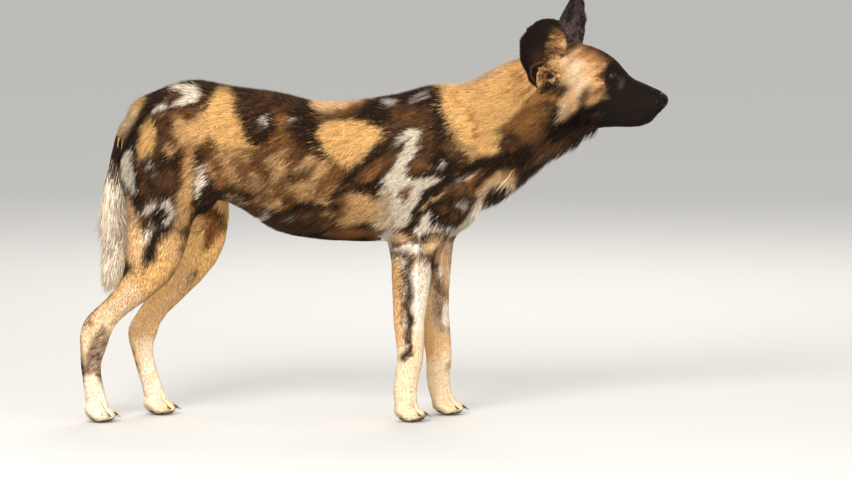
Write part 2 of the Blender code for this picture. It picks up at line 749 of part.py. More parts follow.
def mouth_line(head):
    """A thin ribbon along the meeting of the lips, from one corner round the front to the other."""
    skin = surface_of([head])
    spin = head_turn().to_3x3()
    stations = []
    for k in range(-MOUTH_STEPS, MOUTH_STEPS + 1):
        t = abs(k) / MOUTH_STEPS
        side = 1 if k > 0 else -1
        back = max(0.0, (t - MOUTH_FRONT) / (1 - MOUTH_FRONT))
        x = MOUTH_BEND + (MOUTH_CORNER[0] - MOUTH_BEND) * back
        level = MOUTH_LEVEL + (MOUTH_CORNER[1] - MOUTH_LEVEL) * back
        level += MOUTH_RISE * max(0.0, 1 - t / MOUTH_FRONT) ** 1.5 + 0.003 * back ** 3
        turn = math.pi / 2 * min(1.0, t / MOUTH_FRONT)
        ray = spin @ Vector((-math.cos(turn), -side * math.sin(turn), 0))
        start = head_point(x, 0, level) - ray * 0.1
        spot = skin.ray_cast(start, ray)[0]
        stations.append((spot, ray))
    bm = bmesh.new()
    loops = []
    up = Vector((0, 0, 1))
    for spot, ray in stations:
        corners = (ray * MOUTH_DEEP, up * MOUTH_HIGH, ray * -MOUTH_DEEP, up * -MOUTH_HIGH)
        loops.append([bm.verts.new(spot + step) for step in corners])
    for a, b in zip(loops, loops[1:]):
        for i in range(4):
            bm.faces.new((a[i], a[(i + 1) % 4], b[(i + 1) % 4], b[i]))
    bm.faces.new(loops[0][::-1])
    bm.faces.new(loops[-1])
    bmesh.ops.recalc_face_normals(bm, faces=bm.faces)
    return link_mesh(bm, "mouth")


def claw(x, y, z, length=0.015):
    """A curved, pointed claw that leaves the toe forwards and down."""
    rings = []
    for share in (0.0, 0.55):
        half = 0.0032 * (1 - 0.5 * share)
        centre = Vector((x + length * share, y, z - 0.006 * share * share))
        rings.append([
            centre + Vector((0, half * 0.8, 0)), centre + Vector((0, 0, half)),
            centre + Vector((0, -half * 0.8, 0)), centre + Vector((0, 0, -half)),
        ])
    bm = bmesh.new()
    loops = [[bm.verts.new(p) for p in ring] for ring in rings]
    tip = bm.verts.new((x + length, y, z - 0.0065))
    for i in range(4):
        bm.faces.new((loops[0][i], loops[0][(i + 1) % 4], loops[1][(i + 1) % 4], loops[1][i]))
        bm.faces.new((loops[1][i], loops[1][(i + 1) % 4], tip))
    bm.faces.new(loops[0][::-1])
    bmesh.ops.recalc_face_normals(bm, faces=bm.faces)
    return link_mesh(bm, "claw")


def finished_leg(name, source, cut):
    leg = floor_cut(taken(source, name, cut))
    heel, toe, y = PAWS[name]
    claws = []
    for across, reach in TOES:
        claws.append(claw(heel + reach * (toe - heel) - 0.009, y + across, 0.0150))
    return fused(leg, claws)


def material(name, colour, roughness):
    made = bpy.data.materials.new(name)
    made.use_nodes = True
    shader = made.node_tree.nodes["Principled BSDF"]
    shader.inputs["Base Color"].default_value = (*colour, 1)
    shader.inputs["Roughness"].default_value = roughness
    return made


def finish(collection, obj, name, colour, roughness=0.8):
    obj.name = name
    obj.data.name = name
    obj.data.materials.clear()
    obj.data.materials.append(material(f"{name}_finish", colour, roughness))
    for face in obj.data.polygons:
        face.use_smooth = True
    for home in list(obj.users_collection):
        home.objects.unlink(obj)
    collection.objects.link(obj)


clear_scene()
dog = bpy.data.collections.new("african_wild_dog")
bpy.context.scene.collection.children.link(dog)

flesh = grown_together(body_pieces() + head_pieces())
fine = thinned(flesh, "fine", HEAD_SHARE)
medium = thinned(flesh, "medium", LEG_SHARE)
coarse = thinned(flesh, "coarse", TRUNK_SHARE)
bpy.data.objects.remove(flesh)

parts = {"head": taken(fine, "head", CUTS["head"])}
for name in LEG_NAMES:
    parts[name] = finished_leg(name, medium, CUTS[name])
trunk = coarse
for name in ("head", "neck", "tail", *LEG_NAMES):
    if name == "neck":
        parts["neck"] = taken(trunk, "neck", CUTS["neck"])
    trunk = trimmed(trunk, CUTS[name])
parts["torso"] = trunk
bpy.data.objects.remove(fine)
bpy.data.objects.remove(medium)

for name, (base, tip, opening) in EARS.items():
    parts[name] = ear_on(name, parts["head"], parts["neck"], base, tip, opening)
skin = surface_of([parts["head"]])
eyes = {"right": eye_place(skin, -1), "left": eye_place(skin, 1)}
head = fused(parts["head"], [lids(*place) for place in eyes.values()])
head = combined(head, mouth_line(head), "DIFFERENCE", "MANIFOLD")
for side, name in ((-1, "right"), (1, "left")):
    centre = eyes[name][0]
    room = EYE_RADIUS + GAP
    socket = ball("socket", centre, (room, room, room), segments=16)
    head = combined(head, socket, "DIFFERENCE", "MANIFOLD")
    round_eye = (EYE_RADIUS, EYE_RADIUS, EYE_RADIUS)
    parts[f"eye_{name}"] = ball(f"eye_{name}", centre, round_eye, segments=12)
    spot = (NOSTRIL[0], NOSTRIL[1] * side, NOSTRIL[2])
    hole = ball("nostril", spot, NOSTRIL_HALF, (0, 20, 25 * side), segments=8)
    hole.data.transform(head_turn())
    head = combined(head, hole, "DIFFERENCE", "MANIFOLD")
parts["head"] = head

rng = random.Random(7)
tail_core = limb_loft("tail", [(spot, thick, thick * 1.05) for spot, thick in TAIL], 8, steps=1)
parts["tail"] = fused(tail_core, tail_locks(rng), "MANIFOLD")
parts["neck"] = fused(parts["neck"], neck_locks(rng, parts["neck"], [parts["head"], parts["torso"]]))

for name in ("torso", "hindleg_right", "hindleg_left"):
    parts["tail"] = combined(parts["tail"], swelled(parts[name], GAP * 1.2), "DIFFERENCE", "MANIFOLD")

for name, part in parts.items():
    if name.startswith("eye"):
        finish(dog, part, name, DARK, 0.15)
    elif name.startswith("ear"):
        finish(dog, part, name, DARK)
    elif name == "tail":
        finish(dog, part, name, WHITE)
    else:
        finish(dog, part, name, TAN)
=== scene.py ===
import json
import math

import bpy
import numpy as np
from mathutils import Matrix, Vector

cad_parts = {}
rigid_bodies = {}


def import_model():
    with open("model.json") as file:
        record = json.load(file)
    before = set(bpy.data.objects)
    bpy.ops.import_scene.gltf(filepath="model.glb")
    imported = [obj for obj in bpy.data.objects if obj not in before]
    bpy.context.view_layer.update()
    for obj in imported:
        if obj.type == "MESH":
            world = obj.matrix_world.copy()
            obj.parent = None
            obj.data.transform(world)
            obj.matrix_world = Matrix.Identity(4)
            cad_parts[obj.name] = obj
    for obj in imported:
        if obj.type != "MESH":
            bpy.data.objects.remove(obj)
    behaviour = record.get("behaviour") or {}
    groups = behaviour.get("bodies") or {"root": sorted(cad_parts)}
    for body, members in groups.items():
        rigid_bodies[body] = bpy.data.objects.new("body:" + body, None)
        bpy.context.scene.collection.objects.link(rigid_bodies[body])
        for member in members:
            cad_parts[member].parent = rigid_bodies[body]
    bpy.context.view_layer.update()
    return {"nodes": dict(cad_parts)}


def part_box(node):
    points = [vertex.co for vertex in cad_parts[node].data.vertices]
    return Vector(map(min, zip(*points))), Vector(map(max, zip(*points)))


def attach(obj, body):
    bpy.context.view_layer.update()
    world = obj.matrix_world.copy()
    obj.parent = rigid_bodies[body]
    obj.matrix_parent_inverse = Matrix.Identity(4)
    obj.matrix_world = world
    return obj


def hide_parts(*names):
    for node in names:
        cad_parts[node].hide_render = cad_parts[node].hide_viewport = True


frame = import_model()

# African wild dog as a life-size museum model. Metres, nose towards +X, floor at Z = 0.
# Its right side faces the camera, which stands towards -Y.


def pick(obj):
    bpy.ops.object.select_all(action="DESELECT")
    obj.select_set(True)
    bpy.context.view_layer.objects.active = obj
    return obj


def pointsOf(obj):
    co = np.empty(len(obj.data.vertices) * 3, np.float32)
    obj.data.vertices.foreach_get("co", co)
    return co.reshape(-1, 3).astype(float)


def normalsOf(obj):
    out = np.empty(len(obj.data.vertices) * 3, np.float32)
    obj.data.vertex_normals.foreach_get("vector", out)
    return out.reshape(-1, 3).astype(float)


def placePoints(obj, co):
    obj.data.vertices.foreach_set("co", np.asarray(co, np.float32).ravel())
    obj.data.update()


def facesMiddle(obj):
    out = np.empty(len(obj.data.polygons) * 3, np.float32)
    obj.data.polygons.foreach_get("center", out)
    return out.reshape(-1, 3).astype(float)


def modify(obj, kind, **settings):
    pick(obj)
    step = obj.modifiers.new("step", kind)
    for key, value in settings.items():
        setattr(step, key, value)
    bpy.ops.object.modifier_apply(modifier=step.name)
    return obj


def inEditMode(obj, *steps):
    pick(obj)
    bpy.ops.object.mode_set(mode="EDIT")
    for step in steps:
        step()
    bpy.ops.object.mode_set(mode="OBJECT")
    return obj


def selectAll():
    bpy.ops.mesh.select_all(action="SELECT")


def subdivideWhere(obj, chosen):
    inEditMode(obj, lambda: bpy.ops.mesh.select_mode(type="FACE"),
               lambda: bpy.ops.mesh.select_all(action="DESELECT"))
    obj.data.polygons.foreach_set("select", np.asarray(chosen, bool))
    inEditMode(obj, lambda: bpy.ops.mesh.subdivide(number_cuts=1), selectAll,
               lambda: bpy.ops.mesh.quads_convert_to_tris())


def smoothShade(obj):
    obj.data.polygons.foreach_set("use_smooth", np.ones(len(obj.data.polygons), bool))
    obj.data.update()


def weigh(obj, name, weights):
    group = obj.vertex_groups.new(name=name)
    for step in range(1, 101):
        same = np.nonzero(np.round(weights * 100) == step)[0]
        if len(same):
            group.add(same.tolist(), step / 100, "REPLACE")
    return name


def soften(obj, weights, rounds):
    modify(obj, "SMOOTH", factor=0.5, iterations=rounds, vertex_group=weigh(obj, "soft", weights))
    obj.vertex_groups.clear()


def between(value, low, high):
    t = np.clip((value - low) / (high - low), 0, 1)
    return t * t * (3 - 2 * t)


def hump(value, middle, half):
    return np.exp(-((value - middle) / half) ** 2)


def unit(vectors):
    return vectors / np.maximum(np.linalg.norm(vectors, axis=-1, keepdims=True), 1e-9)


def copyOfNode(name):
    copy = bpy.data.objects.new(name + "Copy", frame["nodes"][name].data.copy())
    bpy.context.scene.collection.objects.link(copy)
    return inEditMode(copy, selectAll, lambda: bpy.ops.mesh.remove_doubles(threshold=0.00001))


def shapedGrid(name, across, along, shape):
    bpy.ops.object.select_all(action="DESELECT")
    bpy.ops.mesh.primitive_grid_add(x_subdivisions=across, y_subdivisions=along, size=1)
    obj = bpy.context.object
    obj.name = obj.data.name = name
    flat = pointsOf(obj) + 0.5
    placePoints(obj, shape(flat[:, 0], flat[:, 1]))
    return obj


def oneOf(name, pieces):
    pick(pieces[0])
    for piece in pieces:
        piece.select_set(True)
    bpy.ops.object.join()
    obj = bpy.context.object
    obj.name = obj.data.name = name
    return obj


def colourBy(obj, colour):
    layer = obj.data.color_attributes.new("coat", "FLOAT_COLOR", "POINT")
    full = np.ones((len(colour), 4), np.float32)
    full[:, :3] = colour
    layer.data.foreach_set("color", full.ravel())


def finished(obj, slot, *nodes):
    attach(obj, "root")
    if nodes:
        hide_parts(*nodes)
    obj.data.calc_loop_triangles()
    print(obj.name, len(obj.data.loop_triangles), "triangles")
    return obj


def dressed(obj, *materials):
    obj.data.materials.clear()
    for material in materials:
        obj.data.materials.append(material)
    return obj


# The head's turn on the neck, as in the solids
headTurn = {"pivot": (0.360, 0.0, 0.655), "yaw": -12, "roll": 4}


def headMatrix():
    there = Matrix.Translation(headTurn["pivot"])
    spin = Matrix.Rotation(math.radians(headTurn["yaw"]), 4, "Z")
    spin = spin @ Matrix.Rotation(math.radians(headTurn["roll"]), 4, "X")
    return there @ spin @ there.inverted()


toWorld = np.array(headMatrix())
toHead = np.array(headMatrix().inverted())


def moved(co, matrix):
    return co @ matrix[:3, :3].T + matrix[:3, 3]


def noise(points, seed):
    # smooth noise on flat or solid points, the same in every run
    cell = np.floor(points).astype(np.int64)
    part = points - cell
    part = part * part * (3 - 2 * part)
    total = np.zeros(len(points))
    for corner in range(2 ** points.shape[1]):
        share = np.ones(len(points))
        mixed = np.full(len(points), seed * 83492791, np.int64)
        for axis, prime in zip(range(points.shape[1]), (73856093, 19349663, 49979687)):
            far = corner >> axis & 1
            share *= part[:, axis] if far else 1 - part[:, axis]
            mixed ^= (cell[:, axis] + far) * prime
        mixed = (mixed ^ (mixed >> 13)) * 1274126177 & 0x7FFFFFFF
        total += share * ((mixed >> 15) & 0xFFFF) / 65535
    return total


# Marks of the coat, seen square on from the right side. Each is a tone, how much of it covers,
# and a stroke of points: millimetres along X and up the picture plane, then the stroke's radius.
# Later marks lie over earlier ones. A few stand for painted sheen and painted shade, as said where they stand.

tones = {
    "ink": (22, 14, 9),
    "dark": (42, 29, 20),
    "umber": (88, 61, 40),
    "brown": (138, 94, 54),
    "sienna": (176, 122, 70),
    "rust": (112, 62, 30),
    "tan": (216, 172, 118),
    "gold": (240, 192, 124),
    "paleTan": (226, 184, 136),
    "cream": (238, 210, 174),
    "white": (240, 226, 206),
    "pale": (198, 188, 180),
    "smoke": (170, 146, 122),
    # slate is a painted sheen: the grey reflection on dark fur
    "slateSheen": (70, 58, 56),
}
marks = {
    "rump": [
        ("umber", 0.5, (-394, 645, 10), (-326, 641, 16), (-246, 633, 16), (-166, 625, 16)),
        ("tan", 1, (-450, 639, 6), (-470, 625, 16), (-488, 601, 14), (-502, 575, 12)),
        ("cream", 0.9, (-468, 615, 6), (-484, 601, 7), (-494, 583, 4)),
        ("white", 1, (-392, 664, 3), (-372, 659, 9), (-356, 649, 15)),
        ("white", 0.95, (-354, 643, 10), (-372, 634, 6), (-392, 627, 2)),
        ("white", 0.95, (-432, 616, 2), (-420, 621, 5), (-408, 627, 4)),
        ("brown", 0.4, (-402, 641, 6), (-386, 641, 6)),
        ("brown", 0.55, (-418, 605, 8), (-394, 607, 10), (-366, 615, 8), (-334, 619, 8)),
        ("tan", 0.8, (-440, 597, 7), (-442, 583, 12)),
        ("gold", 1, (-442, 581, 13), (-442, 561, 16), (-446, 543, 17), (-452, 531, 10)),
        ("umber", 0.9, (-416, 585, 12), (-406, 567, 18), (-410, 541, 14), (-426, 521, 10)),
        ("brown", 0.3, (-410, 593, 10), (-394, 581, 8)),
        ("tan", 0.9, (-402, 545, 6), (-396, 535, 8)),
        ("brown", 0.9, (-384, 601, 10), (-374, 577, 18), (-362, 553, 22), (-334, 553, 20)),
        ("tan", 0.9, (-386, 599, 7), (-372, 581, 16), (-364, 563, 20), (-340, 577, 24), (-330, 597, 16)),
        ("gold", 0.4, (-358, 589, 12), (-334, 569, 16)),
        ("umber", 0.4, (-374, 545, 8), (-346, 543, 8)),
    ],
    "loin": [
        ("umber", 0.5, (-250, 621, 14), (-230, 581, 16), (-234, 565, 10)),
        ("umber", 0.45, (-210, 635, 10), (-182, 629, 10), (-146, 625, 8)),
        ("gold", 1, (-294, 635, 21), (-294, 613, 26), (-292, 589, 32), (-282, 569, 32), (-264, 551, 18),
         (-238, 537, 14), (-220, 529, 12)),
        ("brown", 0.6, (-182, 609, 8), (-172, 595, 8), (-178, 569, 14), (-194, 549, 16), (-162, 565, 12)),
        ("sienna", 0.5, (-178, 601, 6), (-166, 583, 7), (-180, 557, 8), (-202, 537, 8)),
        ("sienna", 0.35, (-140, 573, 6), (-154, 553, 6), (-118, 545, 6)),
        ("pale", 1, (-218, 599, 4), (-208, 597, 9), (-206, 587, 4)),
        ("pale", 0.9, (-158, 597, 3), (-148, 593, 7), (-144, 587, 4)),
        ("brown", 0.6, (-98, 601, 8), (-66, 607, 8), (-42, 614, 7), (-22, 621, 6)),
        ("paleTan", 1, (-102, 625, 13), (-78, 624, 14), (-54, 629, 12), (-30, 635, 9), (-10, 640, 6),
         (6, 644, 4)),
        ("gold", 1, (-78, 571, 24), (-50, 565, 33), (-18, 563, 30), (8, 567, 18), (24, 563, 8)),
        ("gold", 1, (-68, 545, 24), (-42, 537, 28), (-20, 539, 22)),
        ("gold", 0.95, (-56, 517, 12), (-36, 517, 14)),
    ],
    "flank": [
        ("brown", 1, (-302, 517, 24), (-254, 496, 44), (-186, 496, 52), (-122, 492, 52), (-74, 472, 36),
         (-42, 444, 16)),
        ("umber", 0.4, (-302, 517, 20), (-254, 500, 40), (-186, 505, 40), (-122, 500, 44), (-70, 468, 28)),
        ("tan", 0.6, (-298, 533, 10), (-270, 529, 12), (-246, 521, 10)),
        ("tan", 0.75, (-290, 517, 10), (-280, 500, 12), (-270, 480, 10)),
        ("brown", 0.9, (-246, 500, 12), (-222, 496, 12)),
        ("tan", 0.9, (-242, 488, 6), (-228, 486, 8)),
        ("tan", 0.5, (-254, 468, 6), (-210, 468, 10), (-198, 456, 8)),
        ("umber", 0.8, (-222, 513, 6), (-214, 502, 6), (-206, 486, 6)),
        ("umber", 0.7, (-202, 535, 6), (-210, 523, 5)),
        ("tan", 1, (-194, 517, 12), (-180, 502, 18), (-188, 482, 11)),
        ("tan", 0.6, (-170, 533, 8), (-182, 521, 8)),
        ("umber", 0.65, (-160, 521, 6), (-138, 527, 8), (-122, 537, 10)),
        ("umber", 0.6, (-146, 511, 6), (-130, 517, 6), (-158, 500, 5)),
        ("tan", 0.7, (-146, 496, 6), (-130, 500, 6)),
        ("tan", 0.9, (-112, 525, 8), (-124, 511, 10), (-136, 502, 6)),
        ("tan", 1, (-88, 515, 8), (-96, 500, 12), (-106, 484, 9)),
        ("dark", 0.6, (-174, 476, 5), (-152, 480, 7), (-134, 492, 6), (-122, 502, 3)),
        ("tan", 0.9, (-162, 462, 8), (-142, 464, 8), (-122, 468, 8)),
        ("tan", 1, (-138, 446, 8), (-124, 454, 11), (-114, 470, 6)),
        ("tan", 0.6, (-102, 444, 8), (-88, 436, 10), (-78, 464, 8)),
        ("brown", 0.5, (-102, 472, 8), (-82, 484, 8), (-66, 496, 8)),
        ("dark", 0.8, (-106, 537, 10), (-86, 521, 6)),
        ("dark", 0.9, (-126, 557, 18), (-138, 581, 18), (-122, 601, 18)),
        ("umber", 0.7, (46, 581, 14), (30, 545, 18), (2, 517, 16), (-42, 480, 18), (-58, 456, 12)),
        ("dark", 0.7, (50, 569, 12), (22, 537, 12), (-14, 509, 8), (-42, 484, 12), (-58, 456, 10),
         (-78, 448, 6)),
        ("brown", 0.7, (36, 521, 8), (10, 505, 11), (-14, 486, 10)),
        ("sienna", 0.5, (38, 517, 4), (10, 496, 5), (-10, 480, 5)),
        ("brown", 1, (-42, 408, 24), (-18, 420, 24), (10, 424, 18)),
        ("tan", 0.95, (-34, 440, 12), (-14, 430, 20), (-24, 412, 20), (2, 420, 16), (-46, 398, 10)),
        ("umber", 0.9, (-278, 460, 8), (-250, 436, 16), (-210, 408, 24), (-166, 388, 20),
         (-126, 392, 24), (-90, 404, 20)),
        ("dark", 0.5, (-174, 408, 18), (-134, 404, 24), (-94, 396, 24), (-70, 416, 16)),
        ("brown", 0.8, (-278, 444, 8), (-254, 424, 14), (-230, 408, 14)),
        ("dark", 0.7, (-274, 464, 5), (-256, 454, 5), (-238, 440, 5)),
        ("brown", 0.7, (-222, 440, 10), (-194, 432, 12), (-162, 432, 10)),
        ("tan", 0.7, (-220, 440, 6), (-198, 430, 10), (-178, 430, 8)),
        ("cream", 0.75, (-284, 450, 2), (-276, 432, 3)),
        ("cream", 0.7, (-266, 450, 2), (-248, 434, 3)),
        ("tan", 0.5, (-258, 424, 3), (-242, 408, 4)),
        ("umber", 0.7, (-222, 420, 6), (-234, 432, 4)),
        ("white", 1, (-206, 414, 4), (-205, 404, 6), (-212, 392, 3)),
        ("pale", 0.6, (-164, 402, 3), (-154, 400, 3)),
        ("brown", 0.6, (-134, 412, 6), (-118, 414, 6)),
        ("brown", 0.6, (-102, 388, 6), (-78, 388, 6)),
        ("tan", 0.45, (-96, 410, 4), (-80, 414, 4), (-54, 392, 6)),
        ("brown", 0.75, (-74, 372, 8), (-46, 372, 8), (-18, 372, 10), (14, 374, 8)),
        ("sienna", 0.6, (-42, 370, 6), (-22, 370, 7)),
        ("rust", 0.35, (-56, 364, 6), (4, 366, 8)),
    ],
    "thigh": [
        ("umber", 1, (-446, 509, 18), (-418, 492, 24), (-402, 456, 24), (-430, 448, 22)),
        ("dark", 0.5, (-450, 505, 10), (-414, 517, 14), (-434, 464, 14), (-394, 444, 16)),
        ("brown", 0.5, (-454, 480, 6), (-452, 464, 6)),
        ("brown", 0.45, (-420, 484, 8), (-410, 472, 8), (-388, 492, 8)),
        ("pale", 0.8, (-446, 507, 3), (-440, 509, 4)),
        ("smoke", 0.5, (-434, 492, 3), (-428, 494, 3)),
        ("brown", 0.9, (-360, 533, 14), (-360, 496, 14), (-366, 456, 16), (-374, 408, 16)),
        ("tan", 0.8, (-358, 537, 8), (-358, 513, 8), (-360, 492, 10), (-364, 468, 12), (-370, 444, 12),
         (-376, 420, 12), (-378, 392, 12)),
        ("umber", 0.8, (-330, 537, 10), (-330, 517, 8), (-310, 505, 8), (-308, 484, 8)),
        ("brown", 0.9, (-320, 517, 7), (-318, 492, 8), (-294, 484, 12), (-298, 468, 10)),
        ("tan", 0.5, (-320, 509, 5), (-318, 488, 5), (-290, 488, 6)),
        ("dark", 0.9, (-338, 539, 5), (-342, 517, 4), (-347, 492, 2), (-347, 464, 2)),
        ("dark", 1, (-330, 460, 6), (-314, 464, 8), (-298, 460, 6)),
        ("white", 1, (-486, 535, 6), (-487, 517, 13), (-485, 496, 14), (-482, 480, 11), (-476, 466, 8),
         (-472, 460, 4)),
        ("white", 1, (-336, 511, 3), (-338, 492, 6), (-338, 472, 8), (-341, 456, 4), (-341, 442, 2)),
        ("white", 0.8, (-334, 474, 4), (-324, 468, 2)),
        ("white", 1, (-461, 414, 4), (-446, 424, 7), (-432, 432, 6)),
        ("white", 1, (-412, 437, 6), (-400, 432, 8), (-398, 414, 6), (-404, 400, 7), (-420, 394, 7),
         (-434, 387, 5)),
        ("white", 0.8, (-440, 398, 4), (-430, 392, 5)),
        ("paleTan", 1, (-488, 448, 6), (-478, 408, 16), (-474, 364, 18), (-470, 324, 18)),
        ("tan", 1, (-394, 368, 10), (-402, 352, 16), (-414, 320, 32), (-446, 283, 34), (-486, 243, 34),
         (-530, 199, 28)),
        ("gold", 0.7, (-418, 312, 18), (-454, 271, 18)),
        ("tan", 0.9, (-380, 360, 16), (-390, 328, 20)),
        ("umber", 0.9, (-366, 384, 10), (-370, 364, 8), (-386, 376, 8)),
        ("umber", 0.9, (-378, 344, 5), (-380, 338, 5)),
        ("umber", 1, (-450, 408, 10), (-452, 388, 10), (-442, 372, 12)),
        ("dark", 0.9, (-422, 414, 10), (-426, 372, 14), (-438, 348, 12), (-444, 328, 14), (-450, 312, 8)),
        ("white", 1, (-458, 358, 6), (-448, 366, 7)),
        ("brown", 0.6, (-456, 289, 5), (-450, 283, 5)),
        ("cream", 1, (-562, 74, 16), (-558, 50, 24), (-546, 18, 32), (-522, 10, 24)),
        ("umber", 0.6, (-580, 76, 4), (-578, 72, 4)),
        ("paleTan", 1, (-478, 243, 24), (-510, 211, 26), (-538, 187, 28), (-560, 163, 36), (-562, 123, 32)),
        ("cream", 0.55, (-478, 243, 22), (-510, 211, 24), (-538, 187, 26), (-560, 163, 28),
         (-566, 135, 28)),
        ("brown", 0.4, (-538, 175, 8), (-542, 151, 16), (-552, 123, 20), (-558, 103, 18)),
        ("smoke", 0.95, (-538, 175, 9), (-542, 151, 16), (-552, 123, 20), (-558, 105, 18)),
        ("umber", 0.5, (-540, 167, 8), (-544, 147, 14), (-554, 123, 18), (-560, 103, 16)),
        ("brown", 0.9, (-586, 183, 4), (-570, 187, 5), (-560, 189, 4)),
        ("umber", 0.8, (-588, 175, 3), (-588, 147, 4), (-584, 119, 5), (-578, 96, 5)),
        ("dark", 0.9, (-588, 131, 3), (-584, 111, 4), (-579, 94, 4)),
        ("cream", 1, (-562, 74, 16), (-558, 50, 24), (-546, 18, 32), (-522, 10, 24)),
        ("white", 0.5, (-562, 72, 14), (-558, 50, 20), (-550, 22, 26), (-522, 10, 24)),
        ("brown", 0.7, (-580, 78, 3), (-578, 72, 3)),
    ],
    "shoulder": [
        ("umber", 0.7, (50, 613, 12), (78, 605, 22), (110, 601, 24), (114, 557, 24), (94, 521, 20)),
        ("umber", 0.6, (62, 581, 12), (50, 537, 14), (30, 500, 14)),
        ("brown", 0.45, (58, 605, 10), (86, 605, 12), (102, 613, 8)),
        ("brown", 0.35, (110, 585, 10), (126, 557, 10), (118, 541, 8)),
        ("dark", 0.7, (134, 645, 12), (142, 597, 14), (142, 547, 14)),
        ("smoke", 0.5, (54, 593, 2), (46, 581, 2)),
        ("pale", 1, (30, 631, 3), (44, 632, 5), (56, 635, 3)),
        ("pale", 0.5, (40, 621, 2), (52, 625, 2)),
        ("pale", 0.85, (82, 631, 2), (102, 637, 2), (118, 643, 2)),
        ("pale", 0.6, (86, 640, 2), (114, 651, 2)),
        ("smoke", 0.5, (86, 659, 2), (114, 665, 3)),
        ("paleTan", 0.8, (118, 671, 4), (146, 673, 6)),
        ("umber", 1, (86, 500, 12), (100, 513, 16), (118, 509, 12)),
        ("brown", 0.5, (92, 511, 10), (110, 513, 10)),
        ("dark", 0.8, (126, 521, 6), (130, 496, 6)),
        ("brown", 0.6, (156, 549, 8), (168, 537, 8)),
        ("white", 1, (92, 569, 10), (88, 553, 11), (78, 537, 10), (66, 519, 10), (56, 498, 14),
         (46, 478, 18)),
        ("white", 0.8, (80, 571, 6), (66, 561, 6), (58, 549, 3)),
        ("white", 1, (54, 474, 16), (86, 469, 13), (110, 474, 9), (133, 480, 5)),
        ("white", 1, (94, 462, 9), (88, 446, 11), (76, 426, 12), (66, 408, 14), (58, 390, 10)),
        ("white", 1, (42, 462, 12), (50, 436, 14), (56, 412, 16)),
        ("cream", 0.8, (26, 454, 10), (28, 428, 12), (30, 404, 14), (22, 386, 8)),
        ("tan", 0.4, (20, 444, 8), (18, 420, 10), (18, 400, 8)),
        ("smoke", 0.5, (36, 452, 6), (34, 428, 8), (30, 408, 6)),
        ("brown", 0.95, (79, 465, 5), (72, 454, 8), (66, 444, 5)),
        ("pale", 0.95, (141, 509, 3), (148, 513, 4), (144, 520, 2)),
        ("pale", 0.8, (172, 484, 2), (181, 481, 4)),
        ("dark", 1, (114, 440, 14), (146, 432, 22), (170, 432, 24), (190, 456, 18), (210, 480, 12)),
        ("dark", 1, (138, 404, 16), (166, 412, 24)),
        ("umber", 0.7, (146, 448, 8), (170, 464, 10), (194, 456, 12)),
        ("brown", 0.5, (178, 464, 6), (202, 464, 6)),
        ("brown", 0.4, (152, 424, 8), (160, 412, 8)),
        ("brown", 0.4, (178, 408, 8), (192, 424, 6)),
        ("brown", 0.8, (226, 496, 4), (214, 488, 8), (200, 478, 8)),
        ("dark", 0.8, (226, 484, 4), (222, 476, 4)),
        ("white", 1, (178, 438, 4), (186, 434, 5), (194, 428, 3)),
        ("paleTan", 1, (102, 426, 3), (114, 436, 2), (136, 448, 2), (158, 460, 2)),
        ("cream", 0.95, (196, 482, 2), (210, 495, 2), (228, 505, 2)),
        ("white", 1, (116, 412, 6), (109, 400, 12), (102, 386, 12), (94, 372, 7), (84, 360, 3)),
        ("white", 1, (118, 386, 6), (140, 382, 4), (160, 383, 5), (180, 388, 8)),
        ("cream", 0.8, (6, 398, 3), (18, 390, 6), (38, 384, 8)),
        ("umber", 1, (36, 356, 4), (42, 370, 6), (60, 379, 6), (78, 376, 7), (86, 362, 8), (76, 348, 7),
         (56, 342, 6), (42, 346, 5)),
        ("paleTan", 1, (46, 362, 7), (60, 364, 12), (72, 364, 8)),
        ("cream", 0.5, (52, 362, 5), (66, 364, 6)),
        ("umber", 1, (92, 342, 6), (104, 360, 6), (120, 373, 5), (140, 375, 4), (154, 366, 6),
         (152, 350, 7), (138, 334, 8)),
        ("paleTan", 1, (112, 344, 11), (126, 356, 14), (140, 360, 10)),
        ("cream", 0.5, (122, 354, 8), (136, 358, 6)),
        ("umber", 0.9, (50, 332, 8), (78, 338, 8), (94, 328, 8), (118, 328, 7)),
        ("white", 1, (42, 374, 5), (28, 364, 7), (24, 354, 5), (32, 344, 3), (48, 338, 2)),
        ("white", 1, (170, 374, 8), (190, 390, 10), (208, 410, 11), (222, 434, 10)),
        ("cream", 0.9, (222, 444, 6), (228, 456, 5)),
        ("smoke", 0.7, (190, 368, 4), (210, 394, 4), (228, 426, 4)),
        ("dark", 0.6, (196, 366, 2), (216, 396, 3), (232, 424, 3)),
    ],
    "neck": [
        ("tan", 0.8, (154, 645, 10), (158, 613, 12), (174, 581, 16), (190, 553, 16), (206, 529, 10)),
        ("gold", 1, (170, 641, 22), (182, 607, 26), (210, 575, 30), (240, 559, 24)),
        ("gold", 1, (182, 645, 40), (226, 653, 48), (266, 669, 48), (306, 681, 36)),
        ("gold", 1, (222, 613, 44), (254, 625, 40), (286, 641, 28)),
        ("gold", 0.95, (230, 543, 12), (250, 541, 14)),
        ("sienna", 0.45, (170, 645, 8), (174, 629, 8), (190, 619, 6)),
        ("sienna", 0.4, (202, 613, 8), (214, 589, 10), (222, 557, 8)),
        ("umber", 0.5, (152, 581, 8), (170, 545, 12), (190, 521, 10)),
        ("smoke", 0.6, (150, 669, 6), (178, 671, 6), (202, 675, 4)),
        ("paleTan", 0.95, (134, 667, 6), (174, 669, 8), (214, 679, 10), (254, 697, 10), (282, 714, 8)),
        ("sienna", 0.55, (294, 706, 8), (298, 681, 10), (310, 661, 10)),
        ("sienna", 0.5, (280, 665, 8), (294, 649, 10)),
        ("sienna", 0.9, (298, 613, 8), (314, 625, 10), (330, 641, 10), (344, 647, 10)),
        ("rust", 0.5, (340, 653, 6), (346, 643, 6)),
        ("brown", 0.9, (278, 589, 10), (302, 601, 16), (330, 617, 16), (346, 613, 14), (344, 589, 14)),
